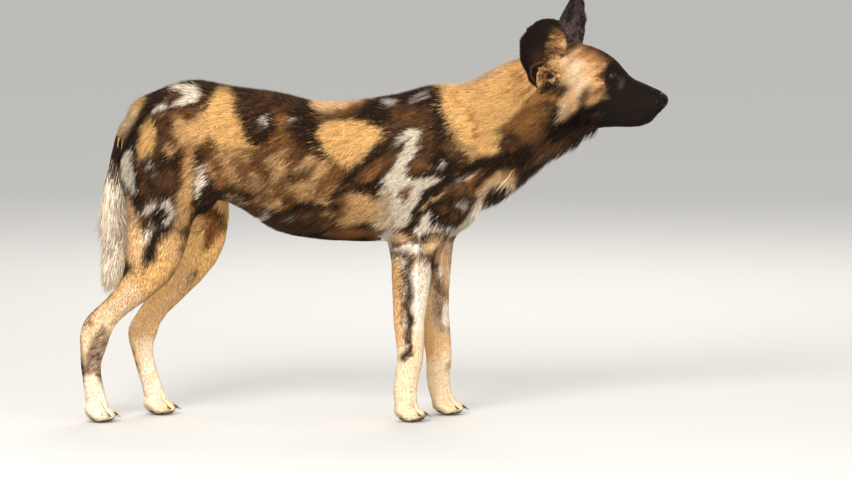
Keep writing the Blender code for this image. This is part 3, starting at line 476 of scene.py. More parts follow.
        ("sienna", 0.5, (302, 589, 12), (322, 581, 12), (326, 605, 8)),
        ("brown", 0.8, (314, 573, 16), (342, 577, 14)),
        ("umber", 0.6, (350, 629, 6), (354, 601, 8), (350, 569, 14), (370, 557, 12)),
        ("umber", 0.7, (272, 569, 6), (286, 553, 8), (314, 553, 12), (342, 553, 12)),
        ("dark", 1, (218, 509, 12), (248, 513, 14), (274, 525, 18), (310, 529, 20), (350, 537, 22),
         (386, 553, 16), (418, 573, 10)),
        ("dark", 0.9, (260, 557, 5), (268, 543, 7)),
        ("brown", 0.6, (276, 557, 3), (286, 541, 4)),
        ("dark", 0.75, (374, 609, 6), (364, 597, 10), (366, 577, 14)),
        ("umber", 0.75, (350, 509, 16), (326, 484, 12)),
        ("umber", 0.6, (334, 541, 14), (366, 553, 12), (402, 569, 10)),
        ("tan", 0.95, (222, 456, 6), (234, 472, 7), (252, 484, 8), (270, 492, 9), (286, 496, 8)),
        ("cream", 0.8, (230, 464, 4), (250, 476, 5), (270, 482, 6), (290, 484, 6)),
        ("umber", 0.5, (286, 511, 6), (298, 496, 6)),
    ],
    "head": [
        ("ink", 1, (466, 669, 52), (534, 641, 48), (558, 629, 36)),
        ("paleTan", 1, (378, 730, 32), (410, 726, 24), (434, 714, 18), (452, 706, 12)),
        ("paleTan", 1, (390, 693, 28), (418, 685, 24), (438, 669, 18), (448, 651, 10)),
        ("paleTan", 1, (406, 653, 18), (394, 629, 18), (386, 613, 10)),
        ("tan", 0.9, (442, 718, 10), (456, 710, 8), (446, 689, 10), (452, 669, 8), (450, 647, 8),
         (438, 635, 8)),
        ("brown", 0.45, (450, 706, 8), (456, 681, 6), (458, 661, 6)),
        ("tan", 0.8, (366, 718, 16), (374, 685, 12)),
        ("brown", 0.5, (358, 710, 10), (366, 685, 10)),
        ("brown", 0.6, (438, 726, 10), (458, 714, 8), (454, 689, 8), (456, 665, 8), (450, 647, 8)),
        ("brown", 0.35, (402, 738, 12), (430, 730, 12), (450, 714, 10)),
        ("cream", 0.9, (410, 706, 12), (404, 685, 14), (422, 673, 10), (412, 653, 6)),
        ("cream", 0.7, (386, 718, 10), (394, 701, 10)),
        ("cream", 0.5, (388, 629, 10), (382, 613, 6)),
        ("brown", 0.75, (394, 750, 8), (422, 742, 10), (446, 730, 10), (466, 716, 8)),
        ("umber", 0.5, (410, 752, 6), (438, 741, 7), (462, 726, 7)),
        ("sienna", 0.4, (422, 726, 8), (446, 714, 8)),
        ("sienna", 0.6, (360, 649, 10), (372, 637, 8)),
        ("sienna", 0.35, (398, 718, 6), (386, 701, 6)),
        ("umber", 0.85, (436, 661, 3), (428, 651, 7), (420, 639, 7)),
        ("brown", 0.6, (444, 649, 5), (438, 637, 6)),
        ("umber", 0.5, (454, 653, 5), (448, 639, 5)),
        ("umber", 0.65, (378, 754, 5), (402, 753, 6), (430, 746, 7), (454, 734, 7), (470, 720, 7)),
        ("ink", 0.4, (394, 758, 3), (422, 751, 4), (448, 740, 5), (468, 726, 6)),
        ("ink", 0.45, (412, 689, 1), (412, 673, 2)),
        ("ink", 1, (404, 757, 2), (434, 749, 3), (462, 737, 4), (482, 724, 6)),
        ("ink", 0.6, (470, 718, 6), (476, 710, 7)),
        ("ink", 0.5, (454, 697, 4), (458, 685, 5), (460, 669, 4)),
        ("ink", 1, (472, 699, 7), (474, 687, 15), (476, 669, 14), (484, 649, 18)),
        ("ink", 1, (488, 712, 8), (502, 693, 14), (522, 665, 24), (550, 645, 24), (578, 641, 20)),
        ("ink", 1, (476, 637, 16), (514, 633, 30), (550, 625, 24)),
        ("ink", 1, (462, 621, 16), (438, 613, 14), (414, 603, 12), (394, 589, 12), (378, 581, 12)),
        ("ink", 1, (474, 609, 24), (514, 601, 24), (546, 601, 16)),
        ("ink", 1, (406, 581, 14), (434, 589, 14)),
        ("umber", 0.3, (454, 613, 8), (430, 601, 8)),
        ("rust", 0.5, (398, 575, 6), (438, 583, 5)),
        # painted sheen: a slate-grey reflection on the black fur below and ahead of the eye
        ("slateSheen", 0.7, (490, 679, 2), (496, 673, 5), (494, 663, 3)),
        # Round the ear's opening: the ink and umber in its pit are painted shade in the hollow, over the dip in the
        # skin; brown, sienna and tan lie on the folds round it
        ("ink", 1, (344, 669, 9), (356, 663, 9), (378, 661, 4)),
        ("umber", 0.7, (366, 661, 6), (390, 660, 3)),
        ("ink", 0.8, (356, 693, 6), (362, 681, 7), (368, 671, 8)),
        ("ink", 1, (328, 685, 6), (344, 685, 10), (356, 685, 7)),
        ("sienna", 0.9, (318, 698, 2), (334, 697, 2), (350, 694, 2)),
        ("tan", 0.9, (341, 679, 2), (349, 674, 2), (357, 675, 2), (361, 682, 2), (358, 689, 1)),
        ("umber", 0.6, (344, 714, 4), (352, 706, 4)),
        ("umber", 0.9, (348, 683, 11)),
        ("brown", 0.95, (330, 697, 6), (329, 681, 6), (335, 667, 6)),
        ("tan", 0.6, (326, 701, 2), (325, 685, 2), (329, 669, 2)),
        ("ink", 0.9, (337, 687, 4), (338, 673, 4), (348, 663, 6), (363, 668, 5), (366, 683, 4)),
        ("brown", 0.9, (353, 695, 2), (344, 691, 2), (342, 683, 2), (347, 675, 2), (354, 677, 2)),
    ],
    "foreleg": [
        ("white", 1, (78, 312, 38), (78, 235, 44), (74, 155, 44)),
        ("cream", 1, (74, 131, 44), (66, 34, 48)),
        ("umber", 0.9, (50, 328, 8), (78, 324, 12), (110, 322, 10), (130, 324, 8)),
        ("paleTan", 1, (44, 304, 14), (48, 255, 15), (50, 199, 13), (52, 151, 8)),
        ("gold", 0.55, (44, 304, 10), (48, 255, 10), (50, 199, 9)),
        ("tan", 0.4, (82, 312, 8), (104, 304, 8)),
        ("umber", 0.95, (76, 312, 9), (68, 283, 9), (76, 255, 9), (66, 227, 8), (76, 195, 8),
         (64, 167, 7), (74, 143, 7), (74, 127, 8), (60, 121, 7)),
        ("dark", 0.8, (76, 308, 5), (68, 281, 4), (76, 253, 5), (66, 225, 4), (76, 195, 5), (74, 139, 5),
         (62, 121, 4)),
        ("umber", 0.5, (58, 299, 6), (58, 243, 6), (56, 191, 6)),
    ],
}
marks["farHind"] = [
    ("gold", 1, (-336, 445, 80), (-316, 325, 80), (-406, 204, 60), (-446, 104, 60)),
    ("paleTan", 0.8, (-370, 284, 24), (-414, 224, 28), (-446, 184, 28), (-466, 144, 24)),
    ("brown", 1, (-334, 433, 18), (-314, 413, 24), (-302, 373, 18)),
    ("rust", 0.9, (-330, 429, 16), (-318, 409, 16), (-330, 377, 10)),
    ("rust", 0.6, (-302, 415, 10), (-294, 385, 8)),
    ("dark", 0.8, (-288, 419, 6), (-296, 401, 6)),
    ("sienna", 0.8, (-320, 381, 8), (-322, 349, 8)),
    ("umber", 0.5, (-346, 300, 10), (-366, 260, 8)),
    ("sienna", 0.6, (-434, 140, 8), (-446, 124, 6)),
    ("cream", 1, (-446, 116, 16), (-442, 71, 24), (-426, 33, 36), (-398, 13, 32)),
    ("white", 0.5, (-442, 112, 12), (-436, 71, 18), (-422, 33, 28)),
    ("brown", 0.8, (-480, 140, 7), (-476, 112, 8), (-470, 83, 7)),
    ("umber", 0.6, (-482, 124, 4), (-476, 95, 5)),
    ("rust", 1, (-340, 424, 14), (-322, 404, 18), (-330, 372, 14), (-336, 348, 8)),
    ("sienna", 0.6, (-334, 412, 8), (-326, 392, 10), (-334, 364, 8)),
    ("umber", 0.8, (-302, 424, 8), (-294, 408, 8), (-302, 388, 6)),
]
marks["farFore"] = [
    ("paleTan", 1, (134, 325, 28), (142, 264, 30), (138, 164, 30), (134, 124, 28)),
    ("smoke", 0.8, (130, 313, 16), (130, 244, 16), (122, 164, 14)),
    ("umber", 0.7, (138, 300, 16), (146, 256, 14), (150, 228, 8)),
    ("brown", 0.5, (134, 294, 12), (130, 244, 10), (126, 184, 8)),
    ("white", 1, (152, 300, 6), (150, 284, 4)),
    ("white", 0.9, (146, 200, 8), (140, 172, 10)),
    ("dark", 0.9, (146, 152, 8), (148, 134, 6)),
    ("cream", 1, (138, 99, 24), (138, 53, 24), (154, 13, 32)),
    ("umber", 1, (148, 114, 5), (150, 108, 4)),
]
markEdge = {"soft": 0.014, "crisp": 0.007, "fine": 0.005, "warp": 0.008, "farWarp": 0.050,
            "streak": 0.13,
            "hairLine": (0.87, 0.49), "tilt": 0.0963}


def linear(tone):
    value = np.array(tones[tone]) / 255
    return np.where(value <= 0.04045, value / 12.92, ((value + 0.055) / 1.055) ** 2.4)


def flattened(co):
    # where a point shows in the picture plane; the left side is folded onto the right
    side = co * (1, -1, 1)
    side[:, 1] = -np.abs(co[:, 1])
    local = moved(co, toHead)
    local[:, 1] = -np.abs(local[:, 1])
    onHead = between(moved(co, toHead)[:, 0], 0.35, 0.43)[:, None]
    folded = side + (moved(local, toWorld) - side) * onHead
    return np.stack([folded[:, 0], folded[:, 2] + markEdge["tilt"] * folded[:, 1]], 1)


def rough(flat, size, seed):
    return np.stack([noise(flat / size, seed), noise(flat / size, seed + 1)], 1) - 0.5


def alongHair(flat):
    x, z = markEdge["hairLine"]
    return flat @ np.array([[x, z], [-z, x]]).T


def brushed(colour, flat, warped, strokes, where=None):
    hair = alongHair(flat)
    for tone, cover, *path in strokes:
        path = np.array(path, float) / 1000
        reach = path[:, 2].max() + 0.02
        inside = ((flat > path[:, :2].min(0) - reach) & (flat < path[:, :2].max(0) + reach)).all(1)
        near = np.nonzero(inside if where is None else inside & (where > 0))[0]
        if not len(near):
            continue
        spot = warped[near]
        apart = np.full(len(near), 9.0)
        for start, end in zip(path, path[1:]):
            step = end[:2] - start[:2]
            along = np.clip((spot - start[:2]) @ step / (step @ step), 0, 1)
            away = np.hypot(*(spot - start[:2] - along[:, None] * step).T)
            apart = np.minimum(apart, away - start[2] - (end[2] - start[2]) * along)
        thin = path[:, 2].max() < 0.005
        edge = markEdge["fine" if thin else "crisp" if tone in ("white", "pale") else "soft"]
        weight = between(0.5 - apart / edge, 0, 1)
        if cover < 1:
            streak = 0.6 * noise(hair[near] / (0.014, 0.005), 11)
            streak += 0.4 * noise(hair[near] / (0.007, 0.0032), 12)
            weight = weight * np.clip((cover * 0.9 + 0.05 - streak) / 0.45 + 0.5, 0, 1)
        if where is not None:
            weight = weight * where[near]
        colour[near] += (linear(tone) - colour[near]) * weight[:, None]
    return colour


def painted(co):
    flat = flattened(co)
    left = between(np.where(co[:, 1] > 0, co[:, 1], 0), 0.0, 0.05)[:, None]
    left *= 1 - 0.9 * between(moved(co, toHead)[:, 0], 0.38, 0.44)[:, None]
    calm = markEdge["warp"] * (1 - 0.6 * between(moved(co, toHead)[:, 0], 0.38, 0.44))[:, None]
    warped = flat + (rough(flat, 0.012, 1) + rough(flat, 0.005, 3) * 0.6) * calm
    warped += rough(flat, 0.07, 21) * markEdge["farWarp"] * left
    colour = np.tile(linear("dark"), (len(co), 1))
    for place in ("rump", "loin", "flank", "thigh", "shoulder", "neck", "head", "foreleg"):
        colour = brushed(colour, flat, warped, marks[place])
    # below knee and elbow the left legs stand further forward, with marks of their own inside
    low = between(-co[:, 2], -0.37, -0.31) * (co[:, 1] > 0)
    groin = (co[:, 1] > 0) * (co[:, 1] < 0.075) * (co[:, 2] < 0.47) * (co[:, 0] < -0.285)
    hind = np.maximum(low, groin) * (co[:, 0] < -0.15)
    fore = low * (co[:, 0] >= -0.15)
    ahead = flat - np.stack([0.113 * (hind > 0) + 0.076 * (fore > 0), np.zeros(len(co))], 1)
    facesIn = 1 - between(co[:, 1], 0.060, 0.072)
    for part, places, inside in ((hind, ("thigh",), "farHind"), (fore, ("foreleg",), "farFore")):
        fresh = np.tile(linear("tan"), (len(co), 1))
        for place in places:
            fresh = brushed(fresh, ahead, ahead + (warped - flat), marks[place], part)
        fresh = brushed(fresh, flat, warped, marks[inside], part * facesIn)
        colour += (fresh - colour) * part[:, None]
    body = between(co[:, 2], 0.36, 0.44)
    streak = 2 * noise(alongHair(flat) / (0.030, 0.0035), 61) - 1
    colour *= 1 + (markEdge["streak"] * body * streak)[:, None]
    return colour + (tailTone(co) - colour) * onTail(co)[:, None]


def tailTone(co):
    # a dark root, then white with grey streaks
    white = linear("smoke") + (linear("white") * 1.1 - linear("smoke")) * between(-co[:, 2], -0.520, -0.485)[:, None]
    streak = noise(np.stack([co[:, 0] / 0.006, co[:, 1] / 0.006, co[:, 2] / 0.05], 1), 31)
    low = between(-co[:, 2], -0.42, -0.36)
    grey = between(streak, 0.60, 0.80) * (0.22 + 0.2 * hump(co[:, 2], 0.375, 0.03)) * (1 - 0.5 * low)
    white = white + (linear("smoke") - white) * grey[:, None]
    # painted light: the lower tail is painted brighter, to make up for the light it gets less of
    white *= 1 + 0.12 * low[:, None]
    root = linear("dark")
    return root + (white - root) * between(-co[:, 2], -0.530, -0.495)[:, None]


def onTail(co):
    rows = np.array(tailLine)
    middle = np.interp(-co[:, 2], -rows[:, 1], rows[:, 0])
    apart = np.hypot(co[:, 0] - middle, co[:, 1])
    return (apart < 0.03) * (co[:, 2] < 0.566) * (co[:, 2] > 0.25) * 1.0


# One skin over all the flesh

skin = {
    "voxel": 0.0026,
    "swell": 0.0006,
    "keep": 0.36,  # share of the faces kept, taken from trunk and thighs
    "keepUnderCoat": 0.66,  # and once more, from trunk and head, when the hair is rooted
    "trunkCoat": 0.0045,
    "legCoat": 0.0020,
    "faceCoat": 0.0008,
    "toeGroove": 0.0034,
}
neckLine = [  # centre along X and Z, half depth, half width
    (0.100, 0.512, 0.136, 0.082),
    (0.154, 0.534, 0.130, 0.079),
    (0.208, 0.553, 0.121, 0.075),
    (0.260, 0.586, 0.110, 0.073),
    (0.307, 0.616, 0.105, 0.072),
    (0.347, 0.633, 0.100, 0.073),
    (0.385, 0.651, 0.092, 0.072),
    (0.420, 0.668, 0.086, 0.071),
]
tailLine = [
    (-0.488, 0.585, 0.0150, 0.0150),
    (-0.5000, 0.5665, 0.0145, 0.0145),
    (-0.5070, 0.540, 0.0135, 0.0140),
    (-0.5130, 0.505, 0.0120, 0.0125),
    (-0.5175, 0.460, 0.0110, 0.0115),
    (-0.5185, 0.410, 0.0100, 0.0105),
    (-0.5185, 0.360, 0.0080, 0.0085),
    (-0.5210, 0.315, 0.0040, 0.0045),
]
paws = {  # heel, toe tips, across
    "hindRight": (-0.583, -0.509, -0.067),
    "hindLeft": (-0.470, -0.392, 0.067),
    "foreRight": (0.034, 0.110, -0.062),
    "foreLeft": (0.110, 0.186, 0.062),
}
toes = ((-0.0245, 0.80), (-0.0085, 0.98), (0.0085, 0.98), (0.0245, 0.80))  # across, share of the paw's length


def tube(name, line, wider=0.0, around=48, along=40):
    # wider swells the upper side and the flanks, and leaves the underside
    rows = np.array(line)
    place = np.linspace(0, 1, len(rows))

    def shape(u, v):
        x, z, deep, wide = (np.interp(v, place, rows[:, k]) for k in range(4))
        dx, dz = (np.interp(v, place, np.gradient(rows[:, k])) for k in (0, 1))
        size = np.hypot(dx, dz)
        angle = math.tau * u
        grown = 1 + wider * between(np.sin(angle), -0.45, 0.15)
        up = deep * np.sin(angle) * grown
        return np.stack([x - up * dz / size, wide * grown * np.cos(angle), z + up * dx / size], 1)

    obj = shapedGrid(name, around, along, shape)
    return inEditMode(
        obj, selectAll, lambda: bpy.ops.mesh.remove_doubles(threshold=0.00001),
        lambda: bpy.ops.mesh.select_mode(type="VERT"),
        lambda: bpy.ops.mesh.select_non_manifold(extend=False),
        lambda: bpy.ops.mesh.fill_holes(sides=0), selectAll,
        lambda: bpy.ops.mesh.normals_make_consistent(inside=False),
    )


def bareNeck():
    # the neck without the locks that hang from its throat
    neck = copyOfNode("neck")
    room = tube("neckRoom", neckLine, 0.30)
    modify(neck, "BOOLEAN", operation="INTERSECT", solver="MANIFOLD", object=room)
    bpy.data.objects.remove(room)
    return neck


def coatDepth(co):
    leg = between(-co[:, 2], -0.42, -0.30)
    depth = skin["trunkCoat"] + (skin["legCoat"] - skin["trunkCoat"]) * leg
    face = between(moved(co, toHead)[:, 0], 0.36, 0.47)
    return depth + (skin["faceCoat"] - depth) * face


def nearJoints(co):
    # where head, neck and trunk meet
    near = np.zeros(len(co))
    for point, direction in (((0.350, -0.003, 0.665), (0.87, -0.09, 0.48)), ((0.214, 0, 0.553), (0.86, 0, 0.51))):
        off = np.abs((co - point) @ unit(np.array(direction)))
        near = np.maximum(near, (1 - between(off, 0.015, 0.040)) * (co[:, 2] > 0.42) * (co[:, 0] > 0.1))
    return near


def toeGrooves(co, normal):
    depth = np.zeros(len(co))
    for heel, toe, across in paws.values():
        share = (co[:, 0] - heel) / (toe - heel)
        aside = co[:, 1] - across
        on = (np.abs(aside) < 0.05) & (share > 0.3) & (share < 1.2) & (co[:, 2] < 0.06)
        for gap, back in ((-0.0165, 0.42), (0.0, 0.52), (0.0165, 0.42)):
            depth += on * hump(aside, gap * (0.8 + 0.25 * share), 0.0026) * between(share, back, back + 0.22)
    return depth * between(normal[:, 2], -0.5, 0.1) * skin["toeGroove"]


def thinned(obj, share, spare):
    # fewer faces where there are some to spare
    modify(obj, "DECIMATE", ratio=share, vertex_group=weigh(obj, "spare", spare))
    obj.vertex_groups.clear()


def oneSkin():
    legs = ("foreleg_right", "foreleg_left", "hindleg_right", "hindleg_left")
    parts = [copyOfNode(name) for name in ("torso", "head", *legs, "eye_right", "eye_left")]
    parts += [bareNeck(), tube("tailCore", tailLine)]
    obj = oneOf("skin", parts)
    modify(obj, "DISPLACE", strength=skin["swell"], mid_level=0)
    modify(obj, "REMESH", mode="VOXEL", voxel_size=skin["voxel"])
    print("skin grown together", len(obj.data.polygons))
    top = int(pointsOf(obj)[:, 2].argmax())

    def onlyOutside():
        bpy.ops.mesh.select_mode(type="VERT")
        bpy.ops.mesh.select_all(action="DESELECT")
        bpy.ops.object.mode_set(mode="OBJECT")
        obj.data.vertices[top].select = True
        bpy.ops.object.mode_set(mode="EDIT")
        bpy.ops.mesh.select_linked()
        bpy.ops.mesh.select_all(action="INVERT")
        bpy.ops.mesh.delete(type="VERT")

    inEditMode(obj, onlyOutside)
    co = pointsOf(obj)
    ahead = moved(co, toHead)[:, 0]
    trunk = between(co[:, 2], 0.16, 0.40) * (1 - between(ahead, 0.34, 0.42))
    soft = (0.15 + 0.85 * trunk) * (1 - 0.6 * between(ahead, 0.44, 0.50))
    soften(obj, soft, 45)
    soften(obj, nearJoints(pointsOf(obj)), 90)
    placePoints(obj, pointsOf(obj) - normalsOf(obj) * coatDepth(pointsOf(obj))[:, None])
    co = pointsOf(obj)
    placePoints(obj, co - normalsOf(obj) * toeGrooves(co, normalsOf(obj))[:, None])
    co = pointsOf(obj)
    spare = between(co[:, 2], 0.10, 0.22) * (1 - between(moved(co, toHead)[:, 0], 0.38, 0.44))
    thinned(obj, skin["keep"], spare)
    print("skin", len(obj.data.polygons))
    return obj


# The face is cut finer and worked: lids, mouth, nostrils and the pad of the nose

face = {
    "mouthCorner": (0.470, 0.6110),  # along the head and up, before the head's turn
    "mouthBend": (0.557, 0.6095),
    "mouthFront": (0.594, 0.6190),
    "mouthDeep": 0.0024,
    "mouthHalf": 0.0010,
    "lip": 0.0008,
    "nostril": (0.5835, 0.0098, 0.6385),
    "nostrilDeep": 0.0060,
    "pad": (0.5635, 0.6275),  # the pad of the nose lies ahead of this and above it
    "lidOpen": (0.0098, 0.0066),
    "lidRise": 0.0013,
    "earHole": (0.3440, 0.6860, 0.0075),  # in the picture plane, like the marks
    "earFolds": (((0.318, 0.699), (0.332, 0.698), (0.346, 0.695)),
                 ((0.343, 0.681), (0.350, 0.675), (0.358, 0.676), (0.361, 0.683), (0.359, 0.690))),
}
eye = {"size": 0.0112, "look": (0.62, 0.78, 0.12), "iris": 0.0066, "pupil": 0.0026}


def eyeAxes(side):
    # the way an eye looks, towards its upper lid, and along its opening
    turn = np.array(eye["look"]) * (1, 1 if side == "left" else -1, 1)
    look = unit(turn) @ toWorld[:3, :3].T
    up = np.array((-0.20, 0, 1.0)) @ toWorld[:3, :3].T
    up = unit(up - look * (up @ look))
    return look, up, np.cross(up, look)


def eyeMiddle(side):
    low, high = (np.array(corner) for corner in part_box("eye_" + side))
    return (low + high) / 2


def lidShare(co, side):
    # 1 on the edge of the lids' opening, less inside it
    look, up, across = eyeAxes(side)
    aim = unit(co - eyeMiddle(side))
    ahead = np.maximum(aim @ look, 0.05)
    wide = np.arctan2(aim @ across, ahead) * eye["size"]
    high = np.arctan2(aim @ up, ahead) * eye["size"]
    angle = np.arctan2(high / face["lidOpen"][1], wide / face["lidOpen"][0])
    edge = np.hypot(face["lidOpen"][0] * np.cos(angle), face["lidOpen"][1] * np.abs(np.sin(angle)) ** 1.5)
    share = np.hypot(wide, high) / edge
    share[np.linalg.norm(co - eyeMiddle(side), axis=1) > 0.03] = 99
    share[aim @ look < 0.1] = 99
    return share


def lidded(co, side):
    middle = eyeMiddle(side)
    aim = unit(co - middle)
    far = np.linalg.norm(co - middle, axis=1)
    share = lidShare(co, side)
    size = eye["size"]
    target = size - 0.0045 + (0.0045 + 0.0004) * between(share, 0.86, 1.0)
    target += (face["lidRise"] - 0.0004) * between(share, 1.0, 1.22) - 0.0008 * hump(share, 1.62, 0.12)
    keep = between(share, 1.35, 2.3)
    far = np.where(share < 90, target + (far - target) * keep, far)
    return middle + aim * far[:, None]


def mouthHeight(x):
    rows = (face["mouthCorner"], face["mouthBend"], face["mouthFront"])
    return np.interp(x, [row[0] for row in rows], [row[1] for row in rows])


def mouthCut(local):
    off = local[:, 2] - mouthHeight(local[:, 0])
    reach = between(local[:, 0], face["mouthCorner"][0] - 0.002, face["mouthCorner"][0] + 0.006)
    return off, reach * (local[:, 0] < 0.62)


def onPad(local):
    # how far inside the pad of the nose a point lies, in metres
    x, z = face["pad"]
    back = local[:, 0] - x - 0.32 * np.abs(local[:, 1]) - 45 * (local[:, 2] - 0.637) ** 2
    under = local[:, 2] - z - 0.2 * np.abs(local[:, 1])
    return np.minimum(back, under) - 0.002 * np.exp(-np.abs(back - under) / 0.003)


def besidePath(flat, path):
    apart = np.full(len(flat), 9.0)
    for start, end in zip(path, path[1:]):
        start, step = np.array(start), np.subtract(end, start)
        along = np.clip((flat - start) @ step / (step @ step), 0, 1)
        apart = np.minimum(apart, np.linalg.norm(flat - start - along[:, None] * step, axis=1))
    return apart


def earHollow(co):
    # 1 in the ear's opening, on the side of the head
    flat, aside = flattened(co), np.abs(moved(co, toHead)[:, 1])
    x, z, half = face["earHole"]
    return (1 - between(np.hypot(flat[:, 0] - x, flat[:, 1] - z), 0.6 * half, 1.3 * half)) * (aside > 0.03)


def earRoot(co):
    # the dip of the ear's opening and the folds that stand round it
    flat, aside = flattened(co), np.abs(moved(co, toHead)[:, 1])
    folds = sum(hump(besidePath(flat, path), 0, 0.0022) for path in face["earFolds"])
    return ((folds * 0.0040) * (aside > 0.03) - 0.0100 * earHollow(co)) * (co[:, 2] > 0.63)


def workedFace(obj):
    middle = moved(facesMiddle(obj), toHead)
    subdivideWhere(obj, middle[:, 0] > 0.43)
    middle = facesMiddle(obj)
    local = moved(middle, toHead)
    off, reach = mouthCut(local)
    fine = (np.abs(off) < 0.006) & (reach > 0) | (local[:, 0] > 0.570)
    flat = flattened(middle)
    fine |= np.hypot(flat[:, 0] - 0.344, flat[:, 1] - 0.684) < 0.030
    for side in ("right", "left"):
        fine |= np.linalg.norm(middle - eyeMiddle(side), axis=1) < 0.021
    subdivideWhere(obj, fine)
    ahead = moved(pointsOf(obj), toHead)[:, 0]
    soften(obj, 0.8 * between(ahead, 0.43, 0.46), 6)
    co = pointsOf(obj)
    for side in ("right", "left"):
        co = lidded(co, side)
    placePoints(obj, co)
    local, normal = moved(co, toHead), normalsOf(obj)
    off, reach = mouthCut(local)
    dip = -face["mouthDeep"] * hump(off, 0, face["mouthHalf"]) * reach
    dip += face["lip"] * hump(off, 0.0026, 0.0016) * reach
    x, y, z = face["nostril"]
    aside = np.abs(local[:, 1])
    hole = np.hypot((aside - y) / 0.0036, (local[:, 2] - z) / 0.0044)
    bend = z - 0.0045 + 60 * (x - 0.005 - local[:, 0]) ** 2
    slit = np.hypot((local[:, 0] - x + 0.0075) / 0.0085, (local[:, 2] - bend) / 0.0012)
    front = local[:, 0] > 0.577
    dip -= face["nostrilDeep"] * (1 - between(hole, 0.45, 1.15)) * front * (local[:, 0] > x - 0.006)
    dip -= 0.0022 * (1 - between(slit, 0.4, 1.2)) * (aside > 0.006)
    pad = onPad(local)
    dip -= 0.0010 * hump(pad, -0.0006, 0.0009)
    dip += 0.0006 * between(pad, 0.0, 0.002)
    cleft = hump(local[:, 1], 0, 0.0008) * between(local[:, 0], 0.575, 0.582) * (local[:, 2] < 0.642)
    dip -= 0.0014 * cleft * between(local[:, 2], 0.6185, 0.621)
    placePoints(obj, co + normal * (dip + earRoot(co))[:, None])
    smoothShade(obj)
    return obj


# Finishes


def newMaterial(name, roughness=0.6):
    made = bpy.data.materials.new(name)
    made.use_nodes = True
    tree = made.node_tree
    shader = tree.nodes["Principled BSDF"]
    shader.inputs["Roughness"].default_value = roughness
    return made, tree, shader


def node(tree, kind, inputs=(), **settings):
    made = tree.nodes.new(kind)
    for key, value in settings.items():
        setattr(made, key, value)
    for key, value in dict(inputs).items():
        if isinstance(value, bpy.types.NodeSocket):
            tree.links.new(value, made.inputs[key])
        else:
            made.inputs[key].default_value = value
    return made


def dented(tree, shader, height, strength, distance):
    dent = node(tree, "ShaderNodeBump", {"Height": height, "Strength": strength, "Distance": distance})
    tree.links.new(dent.outputs["Normal"], shader.inputs["Normal"])


def furMaterial(name, roughness, fine, bump, spread):
    # streaks run along the body, and down the legs
    made, tree, shader = newMaterial(name, roughness)
    place = node(tree, "ShaderNodeTexCoord").outputs["Object"]
    tone = node(tree, "ShaderNodeAttribute", attribute_name="coat").outputs["Color"]
    height = node(tree, "ShaderNodeSeparateXYZ", {"Vector": place}).outputs["Z"]
    streaks = []
    for scale in ((fine * 0.25, fine, fine), (fine, fine, fine * 0.25)):
        along = node(tree, "ShaderNodeMapping", {"Vector": place, "Scale": scale}).outputs["Vector"]
        grain = node(tree, "ShaderNodeTexNoise", {"Vector": along, "Scale": 1.0, "Detail": 3.0})
        streaks.append(grain.outputs["Fac"])
    limb = node(tree, "ShaderNodeMapRange", {"Value": height, "From Min": 0.30, "From Max": 0.40}).outputs["Result"]
    hairs = node(tree, "ShaderNodeMix", {0: limb, 2: streaks[1], 3: streaks[0]}).outputs[0]
    shade = node(tree, "ShaderNodeMapRange", {"Value": hairs, "From Min": 0.3, "From Max": 0.7,
                                              "To Min": 1 - spread, "To Max": 1 + spread * 0.8}).outputs["Result"]
    bright = node(tree, "ShaderNodeHueSaturation", {"Color": tone, "Value": shade}).outputs["Color"]
    tree.links.new(bright, shader.inputs["Base Color"])
    dented(tree, shader, hairs, bump, 0.0012)
    shader.inputs["Specular IOR Level"].default_value = 0.10
    return made


def leatherMaterial(name, low, high, grain, roughness, bump):
    # bare skin: pebbled on the nose, plain on pads
    made, tree, shader = newMaterial(name, roughness)
    place = node(tree, "ShaderNodeTexCoord").outputs["Object"]
    cells = node(tree, "ShaderNodeTexVoronoi", {"Vector": place, "Scale": grain}).outputs["Distance"]
    cloud = node(tree, "ShaderNodeTexNoise", {"Vector": place, "Scale": grain * 0.2, "Detail": 4.0}).outputs["Fac"]
    ramp = node(tree, "ShaderNodeValToRGB", {"Fac": cloud})
    ramp.color_ramp.elements[0].position, ramp.color_ramp.elements[0].color = 0.35, (*low, 1)
    ramp.color_ramp.elements[1].position, ramp.color_ramp.elements[1].color = 0.70, (*high, 1)
    tree.links.new(ramp.outputs["Color"], shader.inputs["Base Color"])
    dented(tree, shader, cells, bump, 0.0006)
    shader.inputs["Specular IOR Level"].default_value = 0.10
    return made


hide = furMaterial("hide", 0.80, 420, 0.35, 0.12)
fur = furMaterial("fur", 0.70, 500, 0.12, 0.08)
noseLeather = leatherMaterial("noseLeather", (0.004, 0.003, 0.003), (0.009, 0.007, 0.006), 900, 0.40, 0.3)
padLeather = leatherMaterial("padLeather", (0.020, 0.015, 0.013), (0.050, 0.040, 0.034), 700, 0.7, 0.6)
lidLeather = leatherMaterial("lidLeather", (0.005, 0.004, 0.003), (0.011, 0.008, 0.007), 600, 0.5, 0.3)

skinPiece = workedFace(oneSkin())
colourBy(skinPiece, painted(pointsOf(skinPiece)))
dressed(skinPiece, hide, noseLeather, lidLeather)
middle = facesMiddle(skinPiece)
kind = np.where(onPad(moved(middle, toHead)) > 0, 1, 0)
for side in ("right", "left"):
    kind[lidShare(middle, side) < 1.18] = 2
skinPiece.data.polygons.foreach_set("material_index", kind.astype(np.int32))

# Ears: a cup from foot to tip, an arc across at every height

